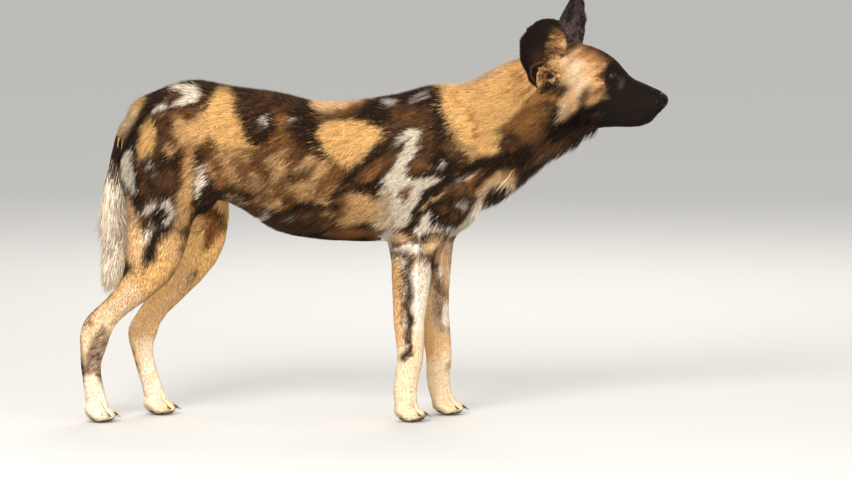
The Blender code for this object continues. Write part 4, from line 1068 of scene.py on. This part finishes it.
ear = {
    "half": {
        "right": ((0.0, 0.026), (0.2, 0.043), (0.5, 0.0575), (0.72, 0.0565), (0.88, 0.0410), (0.96, 0.025),
                  (1.0, 0.010)),
        "left": ((0.0, 0.030), (0.2, 0.046), (0.42, 0.0575), (0.62, 0.0490), (0.78, 0.0345), (0.90, 0.021),
                 (1.0, 0.008)),
    },
    "front": {"right": 1, "left": -1},  # the rim nearer the brow
    "reach": {  # how far round that rim comes, from foot to tip
        "right": ((0, 0.10), (0.1, 0.15), (0.2, 0.22), (0.3, 0.30), (0.4, 0.42), (0.5, 0.55), (0.6, 0.60),
                  (0.7, 0.575), (0.8, 0.575), (0.9, 0.60), (1, 1)),
        "left": ((0, 0.30), (0.1, 0.40), (0.2, 0.55), (0.3, 0.70), (0.4, 0.85), (0.55, 1), (1, 1)),
    },
    "wrap": ((0.0, 118), (0.3, 88), (0.6, 58), (1.0, 30)),
    "thick": 0.0030,
    "curl": 0.006,
    "ridge": 0.0030,
    "right": ((0.350, -0.042, 0.680), (0.347, -0.0930, 0.8055), (0.06, -1, -0.10)),  # foot, tip, facing
    "left": ((0.344, 0.042, 0.700), (0.415, 0.080, 0.857), (0.90, 0.40, -0.10)),
}


def eased(table, u):
    rows = np.array(table)
    k = np.clip(np.searchsorted(rows[:, 0], u, side="left") - 1, 0, len(rows) - 2)
    t = np.clip((u - rows[k, 0]) / (rows[k + 1, 0] - rows[k, 0]), 0, 1)
    t = t * t * (3 - 2 * t)
    return rows[k, 1] + (rows[k + 1, 1] - rows[k, 1]) * t


def earFrame(side):
    foot, tip, opening = (np.array(p, float) for p in ear[side])
    along = unit(tip - foot)
    facing = unit(opening - along * (opening @ along))
    return foot, along, facing, np.cross(along, facing), np.linalg.norm(tip - foot)


def earSpot(side, u, v, out=0.0):
    # u runs from foot to tip, v from -1 at one rim to 1 at the other; out is away from the hollow
    foot, along, facing, across, length = earFrame(side)
    wrap = np.radians(eased(ear["wrap"], u))
    radius = eased(ear["half"][side], u) / np.sin(np.minimum(wrap, math.pi / 2))
    ahead = v * ear["front"][side] > 0
    angle = wrap * np.where(ahead, v * eased(ear["reach"][side], u), v)
    reach = radius + out
    lift = (radius - reach * np.cos(angle) - ear["curl"] * np.sin(math.pi * u))[:, None]
    return foot + along * (length * u)[:, None] + facing * lift + across * (reach * np.sin(angle))[:, None]


def earPlace(side, co):
    # back from a point to u, v and how far into the hollow it lies
    foot, along, facing, across, length = earFrame(side)
    u = np.clip((co - foot) @ along / length, 0, 1)
    wrap = np.radians(eased(ear["wrap"], u))
    radius = eased(ear["half"][side], u) / np.sin(np.minimum(wrap, math.pi / 2))
    a, b = (co - foot) @ across, radius - (co - foot) @ facing - ear["curl"] * np.sin(math.pi * u)
    v = np.arctan2(a, b) / wrap
    ahead = v * ear["front"][side] > 0
    return u, np.where(ahead, v / eased(ear["reach"][side], u), v), radius - np.hypot(a, b)


def earTone(side, u, v, within):
    front = v * ear["front"][side]
    colour = np.tile(linear("ink") * 1.15, (len(u), 1))
    grain = noise(np.stack([u / 0.02, v / 0.10], 1), 71) + 0.6 * noise(np.stack([u / 0.12, v / 0.3], 1), 72)
    # painted sheen: slate-grey patches on the ears' backs, fading out towards the tip
    back = (1 - within) * between(grain, 0.45, 1.15) * between(-u, -0.97, -0.80)
    colour += (linear("slateSheen") - colour) * (0.9 * back)[:, None]
    colour += (linear("umber") - colour) * (0.25 * within * hump(front, -0.30, 0.22) * hump(u, 0.40, 0.10))[:, None]
    # painted light: the front half of the hollow, below the tip, is made lighter as if lit, so that the rear half
    # shows as in shade
    lit = within * between(front, -0.10, 0.45) * between(-u, -0.92, -0.70)
    colour += (linear("umber") - colour) * (0.8 * lit)[:, None]
    rim = within * between(front, 0.80, 0.97) * between(-u, -0.88, -0.70)
    colour += (linear("umber") - colour) * (0.7 * rim)[:, None]
    fold = hump(u, 0.290, 0.016) * between(front, -0.72, -0.60) + hump(front, -0.68, 0.035) * between(-u, -0.29, -0.25)
    colour += (linear("sienna") - colour) * (0.22 * within * np.minimum(fold, 1))[:, None]
    return colour


def oneEar(side):
    def shape(u, v):
        return earSpot(side, 0.001 + 0.998 * v ** 0.85, 2 * u - 1)

    obj = shapedGrid("ear" + side.capitalize(), 30, 34, shape)
    modify(obj, "SOLIDIFY", thickness=ear["thick"], offset=0)
    modify(obj, "SUBSURF", levels=1, render_levels=1)
    inEditMode(obj, selectAll, lambda: bpy.ops.mesh.normals_make_consistent(inside=False))
    co = pointsOf(obj)
    u, v, within = earPlace(side, co)
    within = between(within, -0.0006, 0.0010)
    front = v * ear["front"][side]
    low = between(u, 0.04, 0.14) * between(-u, -0.62, -0.30)
    raised = sum(hump(front, spot - 0.25 * u, 0.11) * tall for spot, tall in ((0.55, 1.0), (0.12, 0.7), (-0.50, 0.9)))
    placePoints(obj, co + normalsOf(obj) * (ear["ridge"] * low * raised * within)[:, None])
    smoothShade(obj)
    colourBy(obj, earTone(side, u, v, within))
    return finished(dressed(obj, hide), "ear_coat", "ear_" + side)


for side in ("right", "left"):
    oneEar(side)

# Coat: short tufts that lie along the body, each a closed sliver rooted in the skin

coat = {
    "seed": 5,
    "shade": 0.17,  # how far one tuft's tone strays from the next
    "stray": 0.0035,  # how far marks fray along the lie
    "patch": 0.003,
    "swing": 0.12,
    "ticks": (("brown", 0.07, 0.65), ("dark", 0.05, 0.5)),  # single hairs of another tone, and how much
}


def lieOf(co, normal):
    # the way the hair lies, before it is laid flat on the skin
    local = moved(co, toHead)
    lie = np.tile((-1.0, 0.0, -0.38), (len(co), 1))

    def turn(towards, share):
        lie[:] += (np.array(towards) - lie) * share[:, None]

    turn((-1.0, 0, -0.74), between(-co[:, 2], -0.60, -0.50))
    turn((-0.5, 0, -1.0), between(-co[:, 0], 0.36, 0.46))
    turn((-0.85, 0, -0.62), between(co[:, 0], 0.18, 0.28) * (co[:, 2] > 0.4))
    under = between(-normal[:, 2], 0.2, 0.9) * between(co[:, 0], 0.2, 0.26)
    turn((-0.35, 0, -1.0), under * (co[:, 2] > 0.4))
    belly = (np.abs(co[:, 1]) < 0.035) | (np.abs(co[:, 0] + 0.08) < 0.17)
    turn((-0.22, 0, -1.0), between(-co[:, 2], -0.47, -0.34) * ~belly)
    turn((-0.1, 0, -1.0), between(-co[:, 2], -0.30, -0.20))
    turn(np.array((-1.0, 0, -0.12)) @ toWorld[:3, :3].T, between(local[:, 0], 0.40, 0.46))
    cheek = between(-local[:, 2], -0.66, -0.62) * between(-local[:, 0], -0.50, -0.46)
    turn(np.array((-0.75, 0, -0.8)) @ toWorld[:3, :3].T, cheek * between(local[:, 0], 0.37, 0.41))
    turn((0.35, 0, -0.6), between(local[:, 0], 0.60, 0.61))
    paw = between(-co[:, 2], -0.050, -0.030)
    turn((0.8, 0, -0.5), paw * (normal[:, 2] > 0.1))
    turn((-0.02, 0, -1.0), onTail(co))
    return lie


def scattered(obj, density, rng):
    # points spread over the skin, so many to the square metre at each face
    mesh = obj.data
    mesh.calc_loop_triangles()
    tri = np.empty(len(mesh.loop_triangles) * 3, np.int32)
    mesh.loop_triangles.foreach_get("vertices", tri)
    tri = tri.reshape(-1, 3)
    co, normal = pointsOf(obj), normalsOf(obj)
    a, b, c = co[tri[:, 0]], co[tri[:, 1]], co[tri[:, 2]]
    area = np.linalg.norm(np.cross(b - a, c - a), axis=1) / 2
    count = np.floor(area * density((a + b + c) / 3) + rng.random(len(area))).astype(int)
    owner = np.repeat(np.arange(len(tri)), count)
    r, s = np.sqrt(rng.random(len(owner))), rng.random(len(owner))
    mix = np.stack([1 - r, r * (1 - s), r * s], 1)[:, :, None]
    return (co[tri[owner]] * mix).sum(1), unit((normal[tri[owner]] * mix).sum(1))


def laid(spot, normal, lie, rng, swing):
    # the lie on the skin, swung a little to one side or the other, and the way across it
    heading = unit(lie - normal * (lie * normal).sum(1)[:, None])
    side = np.cross(normal, heading)
    angle = 0.5 * (noise(spot / 0.05, 41) - 0.5) + rng.normal(0, swing, len(spot))
    heading = heading * np.cos(angle)[:, None] + side * np.sin(angle)[:, None]
    return heading, np.cross(normal, heading)


def tufts(name, slot, spot, normal, lie, sizes, colour, unwrapped, rng, rings=1, droop=0.0, swing=None):
    # sizes are length, width and how far the tip stands off the skin
    count = len(spot)
    heading, side = laid(spot, normal, lie, rng, coat["swing"] if swing is None else swing)
    length, width, lift = (np.broadcast_to(size, count) * rng.uniform(low, high, count)
                           for size, low, high in zip(sizes, (0.72, 0.75, 0.5), (1.15, 1.2, 1.0)))
    length, width, lift = length[:, None], width[:, None], lift[:, None]
    down = np.array((0, 0, -droop))
    points = []
    for ring in range(rings):
        along = ring / rings
        wide = 1 - 0.25 * along
        middle = spot + heading * length * along + normal * lift * math.sin(math.pi / 2 * along) ** 0.8
        middle = middle + down * length * along ** 2 - normal * 0.0006 * (ring == 0)
        points += [middle + side * width * wide / 2, middle - side * width * wide / 2,
                   middle + normal * width * 0.30 * wide]
    points.append(spot + heading * length + normal * lift + down * length)
    rows = len(points)
    points = np.stack(points, 1).reshape(-1, 3)
    last = rows - 4
    faces = [(0, 1, 2)]
    for ring in range(0, last, 3):
        for k in range(3):
            j = (k + 1) % 3
            faces += [(ring + k, ring + 3 + k, ring + 3 + j), (ring + k, ring + 3 + j, ring + j)]
    faces += [(last + k, rows - 1, last + (k + 1) % 3) for k in range(3)]
    tri = (np.array(faces, np.int32)[None] + (np.arange(count) * rows)[:, None, None]).reshape(-1, 3)
    mesh = bpy.data.meshes.new(name)
    mesh.vertices.add(len(points))
    mesh.vertices.foreach_set("co", points.astype(np.float32).ravel())
    mesh.loops.add(tri.size)
    mesh.loops.foreach_set("vertex_index", tri.ravel())
    mesh.polygons.add(len(tri))
    mesh.polygons.foreach_set("loop_start", np.arange(0, tri.size, 3, dtype=np.int32))
    mesh.polygons.foreach_set("use_smooth", np.ones(len(tri), bool))
    mesh.update(calc_edges=True)
    obj = bpy.data.objects.new(name, mesh)
    bpy.context.scene.collection.objects.link(obj)
    calm = 0.70 * np.maximum(between(-spot[:, 2], -0.42, -0.36), isHead(spot))
    calm = 1 - np.maximum(calm, 0.35 * between(spot[:, 0], 0.20, 0.26))[:, None, None]
    shade = np.clip(1 + rng.normal(0, coat["shade"], (count, 1, 1)) * calm, 0.7, 1.35)
    # painted shade and light: each tuft is darker at its root and lighter at its tip, for the shade between the hairs
    # and the light on their tips
    steps = np.repeat(np.linspace(0.84, 1.0, rings), 3).tolist() + [1.06]
    colourBy(obj, (colour[:, None] * shade * np.array(steps)[None, :, None]).reshape(-1, 3))
    corner = np.array([(0, 0), (1, 0), (0.5, 0.5)] * rings + [(0.5, 1)])
    patch = (unwrapped[:, None] + corner[None] * coat["patch"]).reshape(-1, 2)
    uvs = mesh.uv_layers.new(name="OFBake")
    uvs.data.foreach_set("uv", patch[tri.ravel()].astype(np.float32).ravel())
    return finished(dressed(obj, fur), slot)


def unroll(low, high):
    # round the body's own axis, and along it
    def onSheet(spot):
        middle = np.interp(spot[:, 0], (-0.5, -0.3, 0.0, 0.2, 0.40, 0.6), (0.52, 0.52, 0.50, 0.55, 0.67, 0.64))
        turn = np.arctan2(spot[:, 1], spot[:, 2] - middle) / math.tau + 0.5
        return np.stack([0.02 + 0.95 * turn, 0.02 + 0.95 * (spot[:, 0] - low) / (high - low)], 1)
    return onSheet


def unrollLegs(middles, step):
    # each leg of a pair has its own half of the sheet
    def onSheet(spot):
        left = (spot[:, 1] > 0) * 1.0
        middle = np.interp(spot[:, 2], (0, 0.12, 0.3, 0.45), middles) + left * step
        turn = np.arctan2(spot[:, 1] - 0.124 * left + 0.062, spot[:, 0] - middle) / math.tau + 0.5
        up = 0.02 + 0.95 * np.clip(spot[:, 2] / 0.46, 0, 1)
        return np.stack([left * 0.5 + 0.01 + 0.47 * turn, up], 1)
    return onSheet


def isHead(co):
    return moved(co, toHead)[:, 0] > 0.392


def isLeg(co):
    return (co[:, 2] < 0.40) & (onTail(co) < 0.5) & ((co[:, 0] < -0.2) | (co[:, 2] < 0.37) & (co[:, 0] > 0))


def isNeck(co):
    return (co[:, 0] > 0.215) & ~isHead(co) & ~isLeg(co)


def isTrunk(co):
    return ~isNeck(co) & ~isHead(co) & ~isLeg(co) & (onTail(co) < 0.5)


def grow(name, chosen, perSquare, length, width, lift, unwrap, rings=1, droop=0.0, swing=None):
    rng = np.random.default_rng(coat["seed"] + sum(map(ord, name)))
    spot, normal = scattered(skinPiece, lambda co: chosen(co) * perSquare, rng)
    sizes = [size(spot, normal) if callable(size) else size for size in (length, width, lift)]
    lie = lieOf(spot, normal)
    stray = rng.normal(0, coat["stray"], (len(spot), 1)) * np.where(rng.random((len(spot), 1)) < 0.12, 3.5, 1)
    tone = painted(spot + unit(lie) * stray)
    body = (moved(spot, toHead)[:, 0] < 0.40) & (spot[:, 2] > 0.40)
    for other, share, cover in coat["ticks"]:
        ticked = body & (rng.random(len(spot)) < share * (1 - 0.5 * between(spot[:, 0], 0.20, 0.26)))
        tone[ticked] += (linear(other) - tone[ticked]) * cover
    return tufts(name, "coat", spot, normal, lie, sizes, tone, unwrap(spot), rng, rings, droop, swing)


def trunkLength(spot, normal):
    belly = between(-normal[:, 2], 0.3, 0.9)
    chest = between(spot[:, 0], 0.10, 0.2) * between(-spot[:, 2], -0.56, -0.48)
    return 0.016 + 0.006 * belly + 0.008 * chest + 0.008 * belly * hump(spot[:, 0], -0.20, 0.08)


def trunkLift(spot, normal):
    # stands up a little along the back, and hangs off the fold of the flank
    back = between(normal[:, 2], 0.3, 0.9)
    fold = between(-normal[:, 2], 0.2, 0.8) * hump(spot[:, 0], -0.20, 0.08)
    return 0.0042 + 0.0045 * back + 0.004 * fold


grow("trunkCoatRump", lambda co: isTrunk(co) & (co[:, 0] < -0.28), 245000, trunkLength, 0.0019, trunkLift,
     unroll(-0.55, -0.28))
grow("trunkCoatLoin", lambda co: isTrunk(co) & (co[:, 0] >= -0.28) & (co[:, 0] < 0.0), 228000, trunkLength,
     0.0019, trunkLift, unroll(-0.28, 0.0))
grow("trunkCoatShoulder", lambda co: isTrunk(co) & (co[:, 0] >= 0.0), 245000, trunkLength, 0.0019, trunkLift,
     unroll(0.0, 0.3))


def byEar(spot):
    # 1 round the ear's opening, where the hair is short
    flat, aside = flattened(spot), np.abs(moved(spot, toHead)[:, 1])
    apart = np.hypot(flat[:, 0] - face["earHole"][0] - 0.004, flat[:, 1] - face["earHole"][1])
    return (1 - between(apart, 0.018, 0.034)) * (aside > 0.02)


def neckShort(spot):
    # the neck's hair shortens towards the brow and round the ear's opening
    brow = between(moved(spot, toHead)[:, 0], 0.32, 0.40) * (spot[:, 2] > 0.62)
    return (1 - 0.45 * brow) * (1 - 0.75 * byEar(spot))


def throat(spot, normal):
    return between(-normal[:, 2], 0.0, 0.75) * between(spot[:, 0], 0.20, 0.27) * (spot[:, 2] > 0.38)


grow("neckCoat", lambda co: isNeck(co) & (earHollow(co) < 0.4), 310000,
     lambda spot, normal: (0.019 + 0.006 * throat(spot, normal)) * neckShort(spot), 0.0018,
     lambda spot, normal: (0.0048 + 0.0025 * between(normal[:, 2], 0.3, 0.9)) * neckShort(spot),
     unroll(0.2, 0.45))
grow("throatRuff", lambda co: (co[:, 0] > 0.20) & ~(isHead(co) & (co[:, 2] > 0.60)) & (co[:, 2] > 0.40)
     & (co[:, 0] < 0.45) & (co[:, 2] < 0.40 + (co[:, 0] - 0.16) * 0.85), 52000,
     lambda spot, normal: 0.020 + 0.018 * throat(spot, normal), 0.0018,
     lambda spot, normal: 0.004 + 0.009 * throat(spot, normal), unroll(0.2, 0.45), 3, 0.10, 0.20)


def legLength(spot, longer):
    # longer up the leg, and short enough at the sole to stay off the floor
    return np.minimum(0.007 + longer * between(spot[:, 2], 0.1, 0.35), 0.8 * spot[:, 2])


grow("hindlegCoat", lambda co: isLeg(co) & (co[:, 0] < -0.1), 275000,
     lambda spot, normal: legLength(spot, 0.008), 0.0012, 0.0008,
     unrollLegs((-0.54, -0.545, -0.40, -0.38), 0.113))
grow("forelegCoat", lambda co: isLeg(co) & (co[:, 0] > -0.1), 275000,
     lambda spot, normal: legLength(spot, 0.006), 0.0012, 0.0008,
     unrollLegs((0.07, 0.06, 0.06, 0.06), 0.076))


def furredFace(co):
    # all of the head but the pad of the nose, the lids and the lips
    local = moved(co, toHead)
    bare = (onPad(local) > -0.0015) | (lidShare(co, "right") < 1.35) | (lidShare(co, "left") < 1.35)
    off, reach = mouthCut(local)
    lips = (np.abs(off) < 0.0022) & (reach > 0)
    return isHead(co) & ~bare & ~lips & (earHollow(co) < 0.4)


def faceLength(spot, normal):
    local = moved(spot, toHead)
    cheek = between(-local[:, 2], -0.66, -0.60) * between(-local[:, 0], -0.49, -0.45)
    return 0.0035 + (0.0065 * between(-local[:, 0], -0.50, -0.44) + 0.008 * cheek) * (1 - 0.9 * byEar(spot))


grow("headCoat", furredFace, 620000, faceLength, lambda spot, normal: 0.0007 + 0.05 * faceLength(spot, normal),
     lambda spot, normal: 0.0008 + (0.12 + 0.12 * between(normal[:, 2], 0.5, 0.9)) * (faceLength(spot, normal) - 0.0035),
     unroll(0.36, 0.6))



def onWhiskerPad(co):
    local = moved(co, toHead)
    return (np.hypot(local[:, 0] - 0.553, local[:, 2] - 0.6240) < 0.011) & (np.abs(local[:, 1]) > 0.012)


grow("whiskers", onWhiskerPad, 16000, 0.030, 0.0006, 0.010, unroll(0.36, 0.6), 3, 0.12, 0.28)

# Tail: long locks round the core, white below a dark root

brush = {"count": 9300, "length": 0.070, "width": 0.0017, "flare": 0.0150}


def growTail():
    rng = np.random.default_rng(17)
    share = rng.random(brush["count"]) ** 0.9
    z = 0.566 - share * 0.236
    rows = np.array(tailLine)
    x = np.interp(-z, -rows[:, 1], rows[:, 0])
    thick = np.interp(-z, -rows[:, 1], rows[:, 2]) * 0.92
    angle = rng.random(brush["count"]) * math.tau
    out = np.stack([np.cos(angle), np.sin(angle), np.zeros(len(z))], 1)
    spot = np.stack([x, np.zeros(len(z)), z], 1) + out * thick[:, None]
    lie = np.tile((-0.04, 0.0, -1.0), (len(z), 1))
    length = brush["length"] * (0.50 + 0.65 * between(share, 0.0, 0.3))
    lift = brush["flare"] * (0.30 + 0.70 * between(share, 0.05, 0.35))
    turned = np.stack([angle / math.tau * 0.95, 0.02 + share * 0.95], 1)
    tone = painted(spot + lie * rng.normal(0.006, 0.006, (len(z), 1)))
    tufts("tailCoat", "tail_coat", spot, out, lie, (length, brush["width"], lift), tone, turned, rng, 3, 0.0, 0.10)


growTail()

# Ears: short dark hair outside, and long light hair from the front rim across the hollow


def growEar(side):
    rng = np.random.default_rng(29 if side == "left" else 31)
    foot, along, facing, across, length = earFrame(side)
    front = ear["front"][side]
    count = 5200
    u, v = 0.04 + 0.95 * np.sqrt(rng.random(count)), rng.uniform(-1, 1, count)
    spot = earSpot(side, u, v, ear["thick"] * 0.45)
    out = unit(spot - earSpot(side, u, v, -ear["thick"]))
    lie = np.tile(along, (count, 1))
    tone = earTone(side, u, v, np.zeros(count)) * rng.uniform(0.8, 1.6, (count, 1))
    sheet = np.stack([0.25 + 0.24 * v, 0.02 + 0.95 * u], 1)
    short = 0.007 * (1 - 0.6 * between(u, 0.70, 0.95))
    tufts("earCoat" + side.capitalize(), "ear_coat", spot, out, lie, (short, 0.0013, 0.0010), tone, sheet, rng)
    count = 3000 if side == "right" else 2000
    u = rng.uniform(0.28, 0.84, count)
    v = front * (1 - 0.96 * rng.random(count) ** 1.5 * between(-u, -0.92, -0.60))
    spot = earSpot(side, u, v, -ear["thick"] * 0.45)
    inward = unit(earSpot(side, u, v, -ear["thick"]) - spot)
    lie = unit(-front * across + along * (0.62 - 0.9 * u)[:, None] + facing * 0.12)
    light = noise(np.stack([u / 0.030, v / 0.6], 1), 51) + rng.normal(0, 0.20, count)
    tone = linear("umber") * 0.7 + (linear("brown") - linear("umber") * 0.7) * between(light, 0.10, 0.50)[:, None]
    tone += (linear("tan") - tone) * (between(light, 0.42, 0.85) * 0.9)[:, None]
    tone += (linear("cream") - tone) * (between(light, 0.80, 1.10) * 0.7)[:, None]
    # painted shade: the fringe hair darkens away from the front rim, where the cup lies deep in shade, and it darkens
    # towards the tip
    cupShade = np.minimum(between(front * v, 0.10, 0.75) + 0.30, 1 - 0.65 * between(u, 0.62, 0.84))
    tone *= cupShade[:, None]
    sheet = np.stack([0.75 + 0.24 * v, 0.02 + 0.95 * u], 1)
    reach = (0.016 + 0.012 * between(-u, -0.80, -0.45)) * rng.uniform(0.35, 1.15, count)
    reach *= 0.4 + 0.6 * between(front * v, 0.1, 0.7)
    tufts("earFringe" + side.capitalize(), "ear_coat", spot, inward, lie, (reach, 0.0009, 0.0040), tone, sheet,
          rng, 3, 0.0, 0.24)


def lineEar(side):
    # short hair inside the cup
    rng = np.random.default_rng(37 if side == "left" else 41)
    count = 3600
    u, v = 0.03 + 0.92 * np.sqrt(rng.random(count)), rng.uniform(-0.97, 0.97, count)
    spot = earSpot(side, u, v, -ear["thick"] * 0.5)
    inward = unit(earSpot(side, u, v, -ear["thick"] * 2) - spot)
    lie = np.tile(earFrame(side)[1], (count, 1))
    tone = earTone(side, u, v, np.ones(count)) * rng.uniform(0.8, 1.7, (count, 1))
    sheet = np.stack([0.25 + 0.24 * v, 0.02 + 0.95 * u], 1)
    tufts("earLining" + side.capitalize(), "ear_coat", spot, inward, lie, (0.006, 0.0010, 0.0012), tone, sheet, rng)


for side in ("right", "left"):
    growEar(side)
    lineEar(side)


def hiddenByCoat(co):
    # not the legs, nor the nose, the lids and the ears' openings
    flat = flattened(co)
    hidden = between(co[:, 2], 0.34, 0.44) * (moved(co, toHead)[:, 0] < 0.56)
    hidden *= np.hypot(flat[:, 0] - 0.344, flat[:, 1] - 0.684) > 0.030
    for side in ("right", "left"):
        hidden *= np.linalg.norm(co - eyeMiddle(side), axis=1) > 0.021
    return hidden


thinned(skinPiece, skin["keepUnderCoat"], hiddenByCoat(pointsOf(skinPiece)))
finished(skinPiece, "coat", "torso", "neck", "head", "foreleg_right", "foreleg_left",
         "hindleg_right", "hindleg_left", "tail")

# Eyes: a ball each with a raised front


def glassMaterial():
    made, tree, shader = newMaterial("eyeGlass", 0.10)
    gaze = node(tree, "ShaderNodeAttribute", attribute_name="gaze").outputs["Fac"]
    ramp = node(tree, "ShaderNodeValToRGB", {"Fac": gaze})
    stops = ramp.color_ramp.elements
    stops[0].position, stops[0].color = 0.0, (0.004, 0.003, 0.003, 1)
    stops[1].position, stops[1].color = 1.0, (0.03, 0.018, 0.012, 1)
    for place, tone in ((0.17, (0.004, 0.003, 0.003, 1)), (0.20, (0.022, 0.009, 0.004, 1)),
                        (0.38, (0.022, 0.009, 0.005, 1)), (0.45, (0.010, 0.006, 0.005, 1)),
                        (0.54, (0.02, 0.013, 0.010, 1))):
        stops.new(place).color = tone
    tree.links.new(ramp.outputs["Color"], shader.inputs["Base Color"])
    shader.inputs["Specular IOR Level"].default_value = 0.22
    return made


eyeGlass = glassMaterial()
for side in ("right", "left"):
    bpy.ops.object.select_all(action="DESELECT")
    bpy.ops.mesh.primitive_uv_sphere_add(segments=40, ring_count=28, radius=eye["size"])
    ball = bpy.context.object
    ball.name = ball.data.name = "eye" + side.capitalize()
    co = pointsOf(ball)
    off = np.arccos(np.clip(unit(co) @ eyeAxes(side)[0], -1, 1)) * eye["size"]
    co *= 1 + 0.045 * (1 - between(off, 0.003, eye["iris"]))[:, None]
    placePoints(ball, co + eyeMiddle(side))
    gaze = ball.data.attributes.new("gaze", "FLOAT", "POINT")
    gaze.data.foreach_set("value", np.clip(off / 0.015, 0, 1).astype(np.float32))
    smoothShade(ball)
    finished(dressed(ball, eyeGlass), "eye", "eye_" + side)

# Claws and the pads under the paws

claw = {"long": 0.016, "thick": 0.0033, "drop": 0.0075, "height": 0.0150, "back": 0.009}


def oneClaw(x, y):
    def shape(u, v):
        angle = math.tau * u
        half = claw["thick"] * (1 - v) ** 0.6 * (1 - 0.15 * v)
        return np.stack([
            x + claw["long"] * v - 0.0015 * np.sin(angle) * v, y + half * 0.75 * np.cos(angle),
            claw["height"] - claw["drop"] * v ** 1.8 + half * np.sin(angle),
        ], 1)

    obj = shapedGrid("claw", 12, 9, shape)
    return inEditMode(obj, selectAll, lambda: bpy.ops.mesh.remove_doubles(threshold=0.00005),
                      lambda: bpy.ops.mesh.select_mode(type="VERT"),
                      lambda: bpy.ops.mesh.select_non_manifold(extend=False),
                      lambda: bpy.ops.mesh.fill_holes(sides=0), selectAll,
                      lambda: bpy.ops.mesh.normals_make_consistent(inside=False))


def onePad(x, y, long, wide):
    bpy.ops.object.select_all(action="DESELECT")
    bpy.ops.mesh.primitive_uv_sphere_add(segments=20, ring_count=12, radius=1)
    obj = bpy.context.object
    co = pointsOf(obj)
    low = np.sign(co[:, 2]) * np.abs(co[:, 2]) ** 1.2
    placePoints(obj, np.stack([x + co[:, 0] * long * (1 - 0.2 * co[:, 1] ** 2), y + co[:, 1] * wide,
                               0.0052 + low * 0.0052], 1))
    return obj


def hornMaterial():
    made, tree, shader = newMaterial("clawHorn", 0.42)
    place = node(tree, "ShaderNodeTexCoord").outputs["Object"]
    along = node(tree, "ShaderNodeMapping", {"Vector": place, "Scale": (90, 900, 500)}).outputs["Vector"]
    grain = node(tree, "ShaderNodeTexNoise", {"Vector": along, "Scale": 1.0, "Detail": 3.0}).outputs["Fac"]
    ramp = node(tree, "ShaderNodeValToRGB", {"Fac": grain})
    ramp.color_ramp.elements[0].position, ramp.color_ramp.elements[0].color = 0.35, (0.020, 0.014, 0.010, 1)
    ramp.color_ramp.elements[1].position, ramp.color_ramp.elements[1].color = 0.75, (0.090, 0.065, 0.045, 1)
    tree.links.new(ramp.outputs["Color"], shader.inputs["Base Color"])
    dented(tree, shader, grain, 0.3, 0.0004)
    return made


claws, pads = [], []
for heel, tip, across in paws.values():
    for aside, reach in toes:
        x = heel + reach * (tip - heel) - claw["back"]
        claws.append(oneClaw(x, across + aside))
        pads.append(onePad(x - 0.008, across + aside * 0.92, 0.0105, 0.0068))
    pads.append(onePad(heel + 0.42 * (tip - heel), across, 0.0150, 0.0175))
for name, pieces, material in (("claws", claws, hornMaterial()), ("pawPads", pads, padLeather)):
    joined = oneOf(name, pieces)
    smoothShade(joined)
    finished(dressed(joined, material), "coat")

# Floor, light and camera

bpy.ops.object.select_all(action="DESELECT")
bpy.ops.mesh.primitive_plane_add(size=60, location=(0, 0, -0.0025))
floor = bpy.context.object
floor.name = "floor"
paper, paperTree, paperShader = newMaterial("palePaper", 0.9)
paperShader.inputs["Base Color"].default_value = (0.60, 0.59, 0.57, 1)
floor.data.materials.append(paper)

view = {"distance": 20.0, "lens": 422.5, "rise": 5.5, "aimX": 0.106, "aimUp": 0.354}


def softLight(name, place, aim, size, power, colour):
    bpy.ops.object.light_add(type="AREA", location=place)
    lamp = bpy.context.object
    lamp.name = name
    lamp.data.size = size
    lamp.data.energy = power
    lamp.data.color = colour
    lamp.rotation_euler = (Vector(aim) - Vector(place)).to_track_quat("-Z", "Y").to_euler()


softLight("keyLight", (-1.2, -3.4, 2.6), (0.05, 0, 0.40), 1.5, 190, (1.0, 0.96, 0.90))
softLight("fillLight", (1.6, -4.2, 0.9), (0.05, 0, 0.30), 2.0, 80, (1.0, 0.97, 0.92))
softLight("backLight", (0.4, 3.0, 2.6), (0.05, 0, 0.40), 2.0, 60, (1.0, 0.98, 0.94))
world = bpy.data.worlds.new("studio")
bpy.context.scene.world = world
world.use_nodes = True
world.node_tree.nodes["Background"].inputs["Color"].default_value = (0.88, 0.875, 0.86, 1)
world.node_tree.nodes["Background"].inputs["Strength"].default_value = 0.90

rise = math.radians(view["rise"])
aim = Vector((view["aimX"], 0, view["aimUp"] / math.cos(rise)))
bpy.ops.object.camera_add(location=aim + view["distance"] * Vector((0, -math.cos(rise), math.sin(rise))))
camera = bpy.context.object
camera.rotation_euler = (math.pi / 2 - rise, 0, 0)
camera.data.lens = view["lens"]
camera.data.sensor_width = 36
camera.data.clip_end = 200
camera.data.dof.use_dof = False
bpy.context.scene.camera = camera
bpy.context.scene.view_settings.view_transform = "Standard"
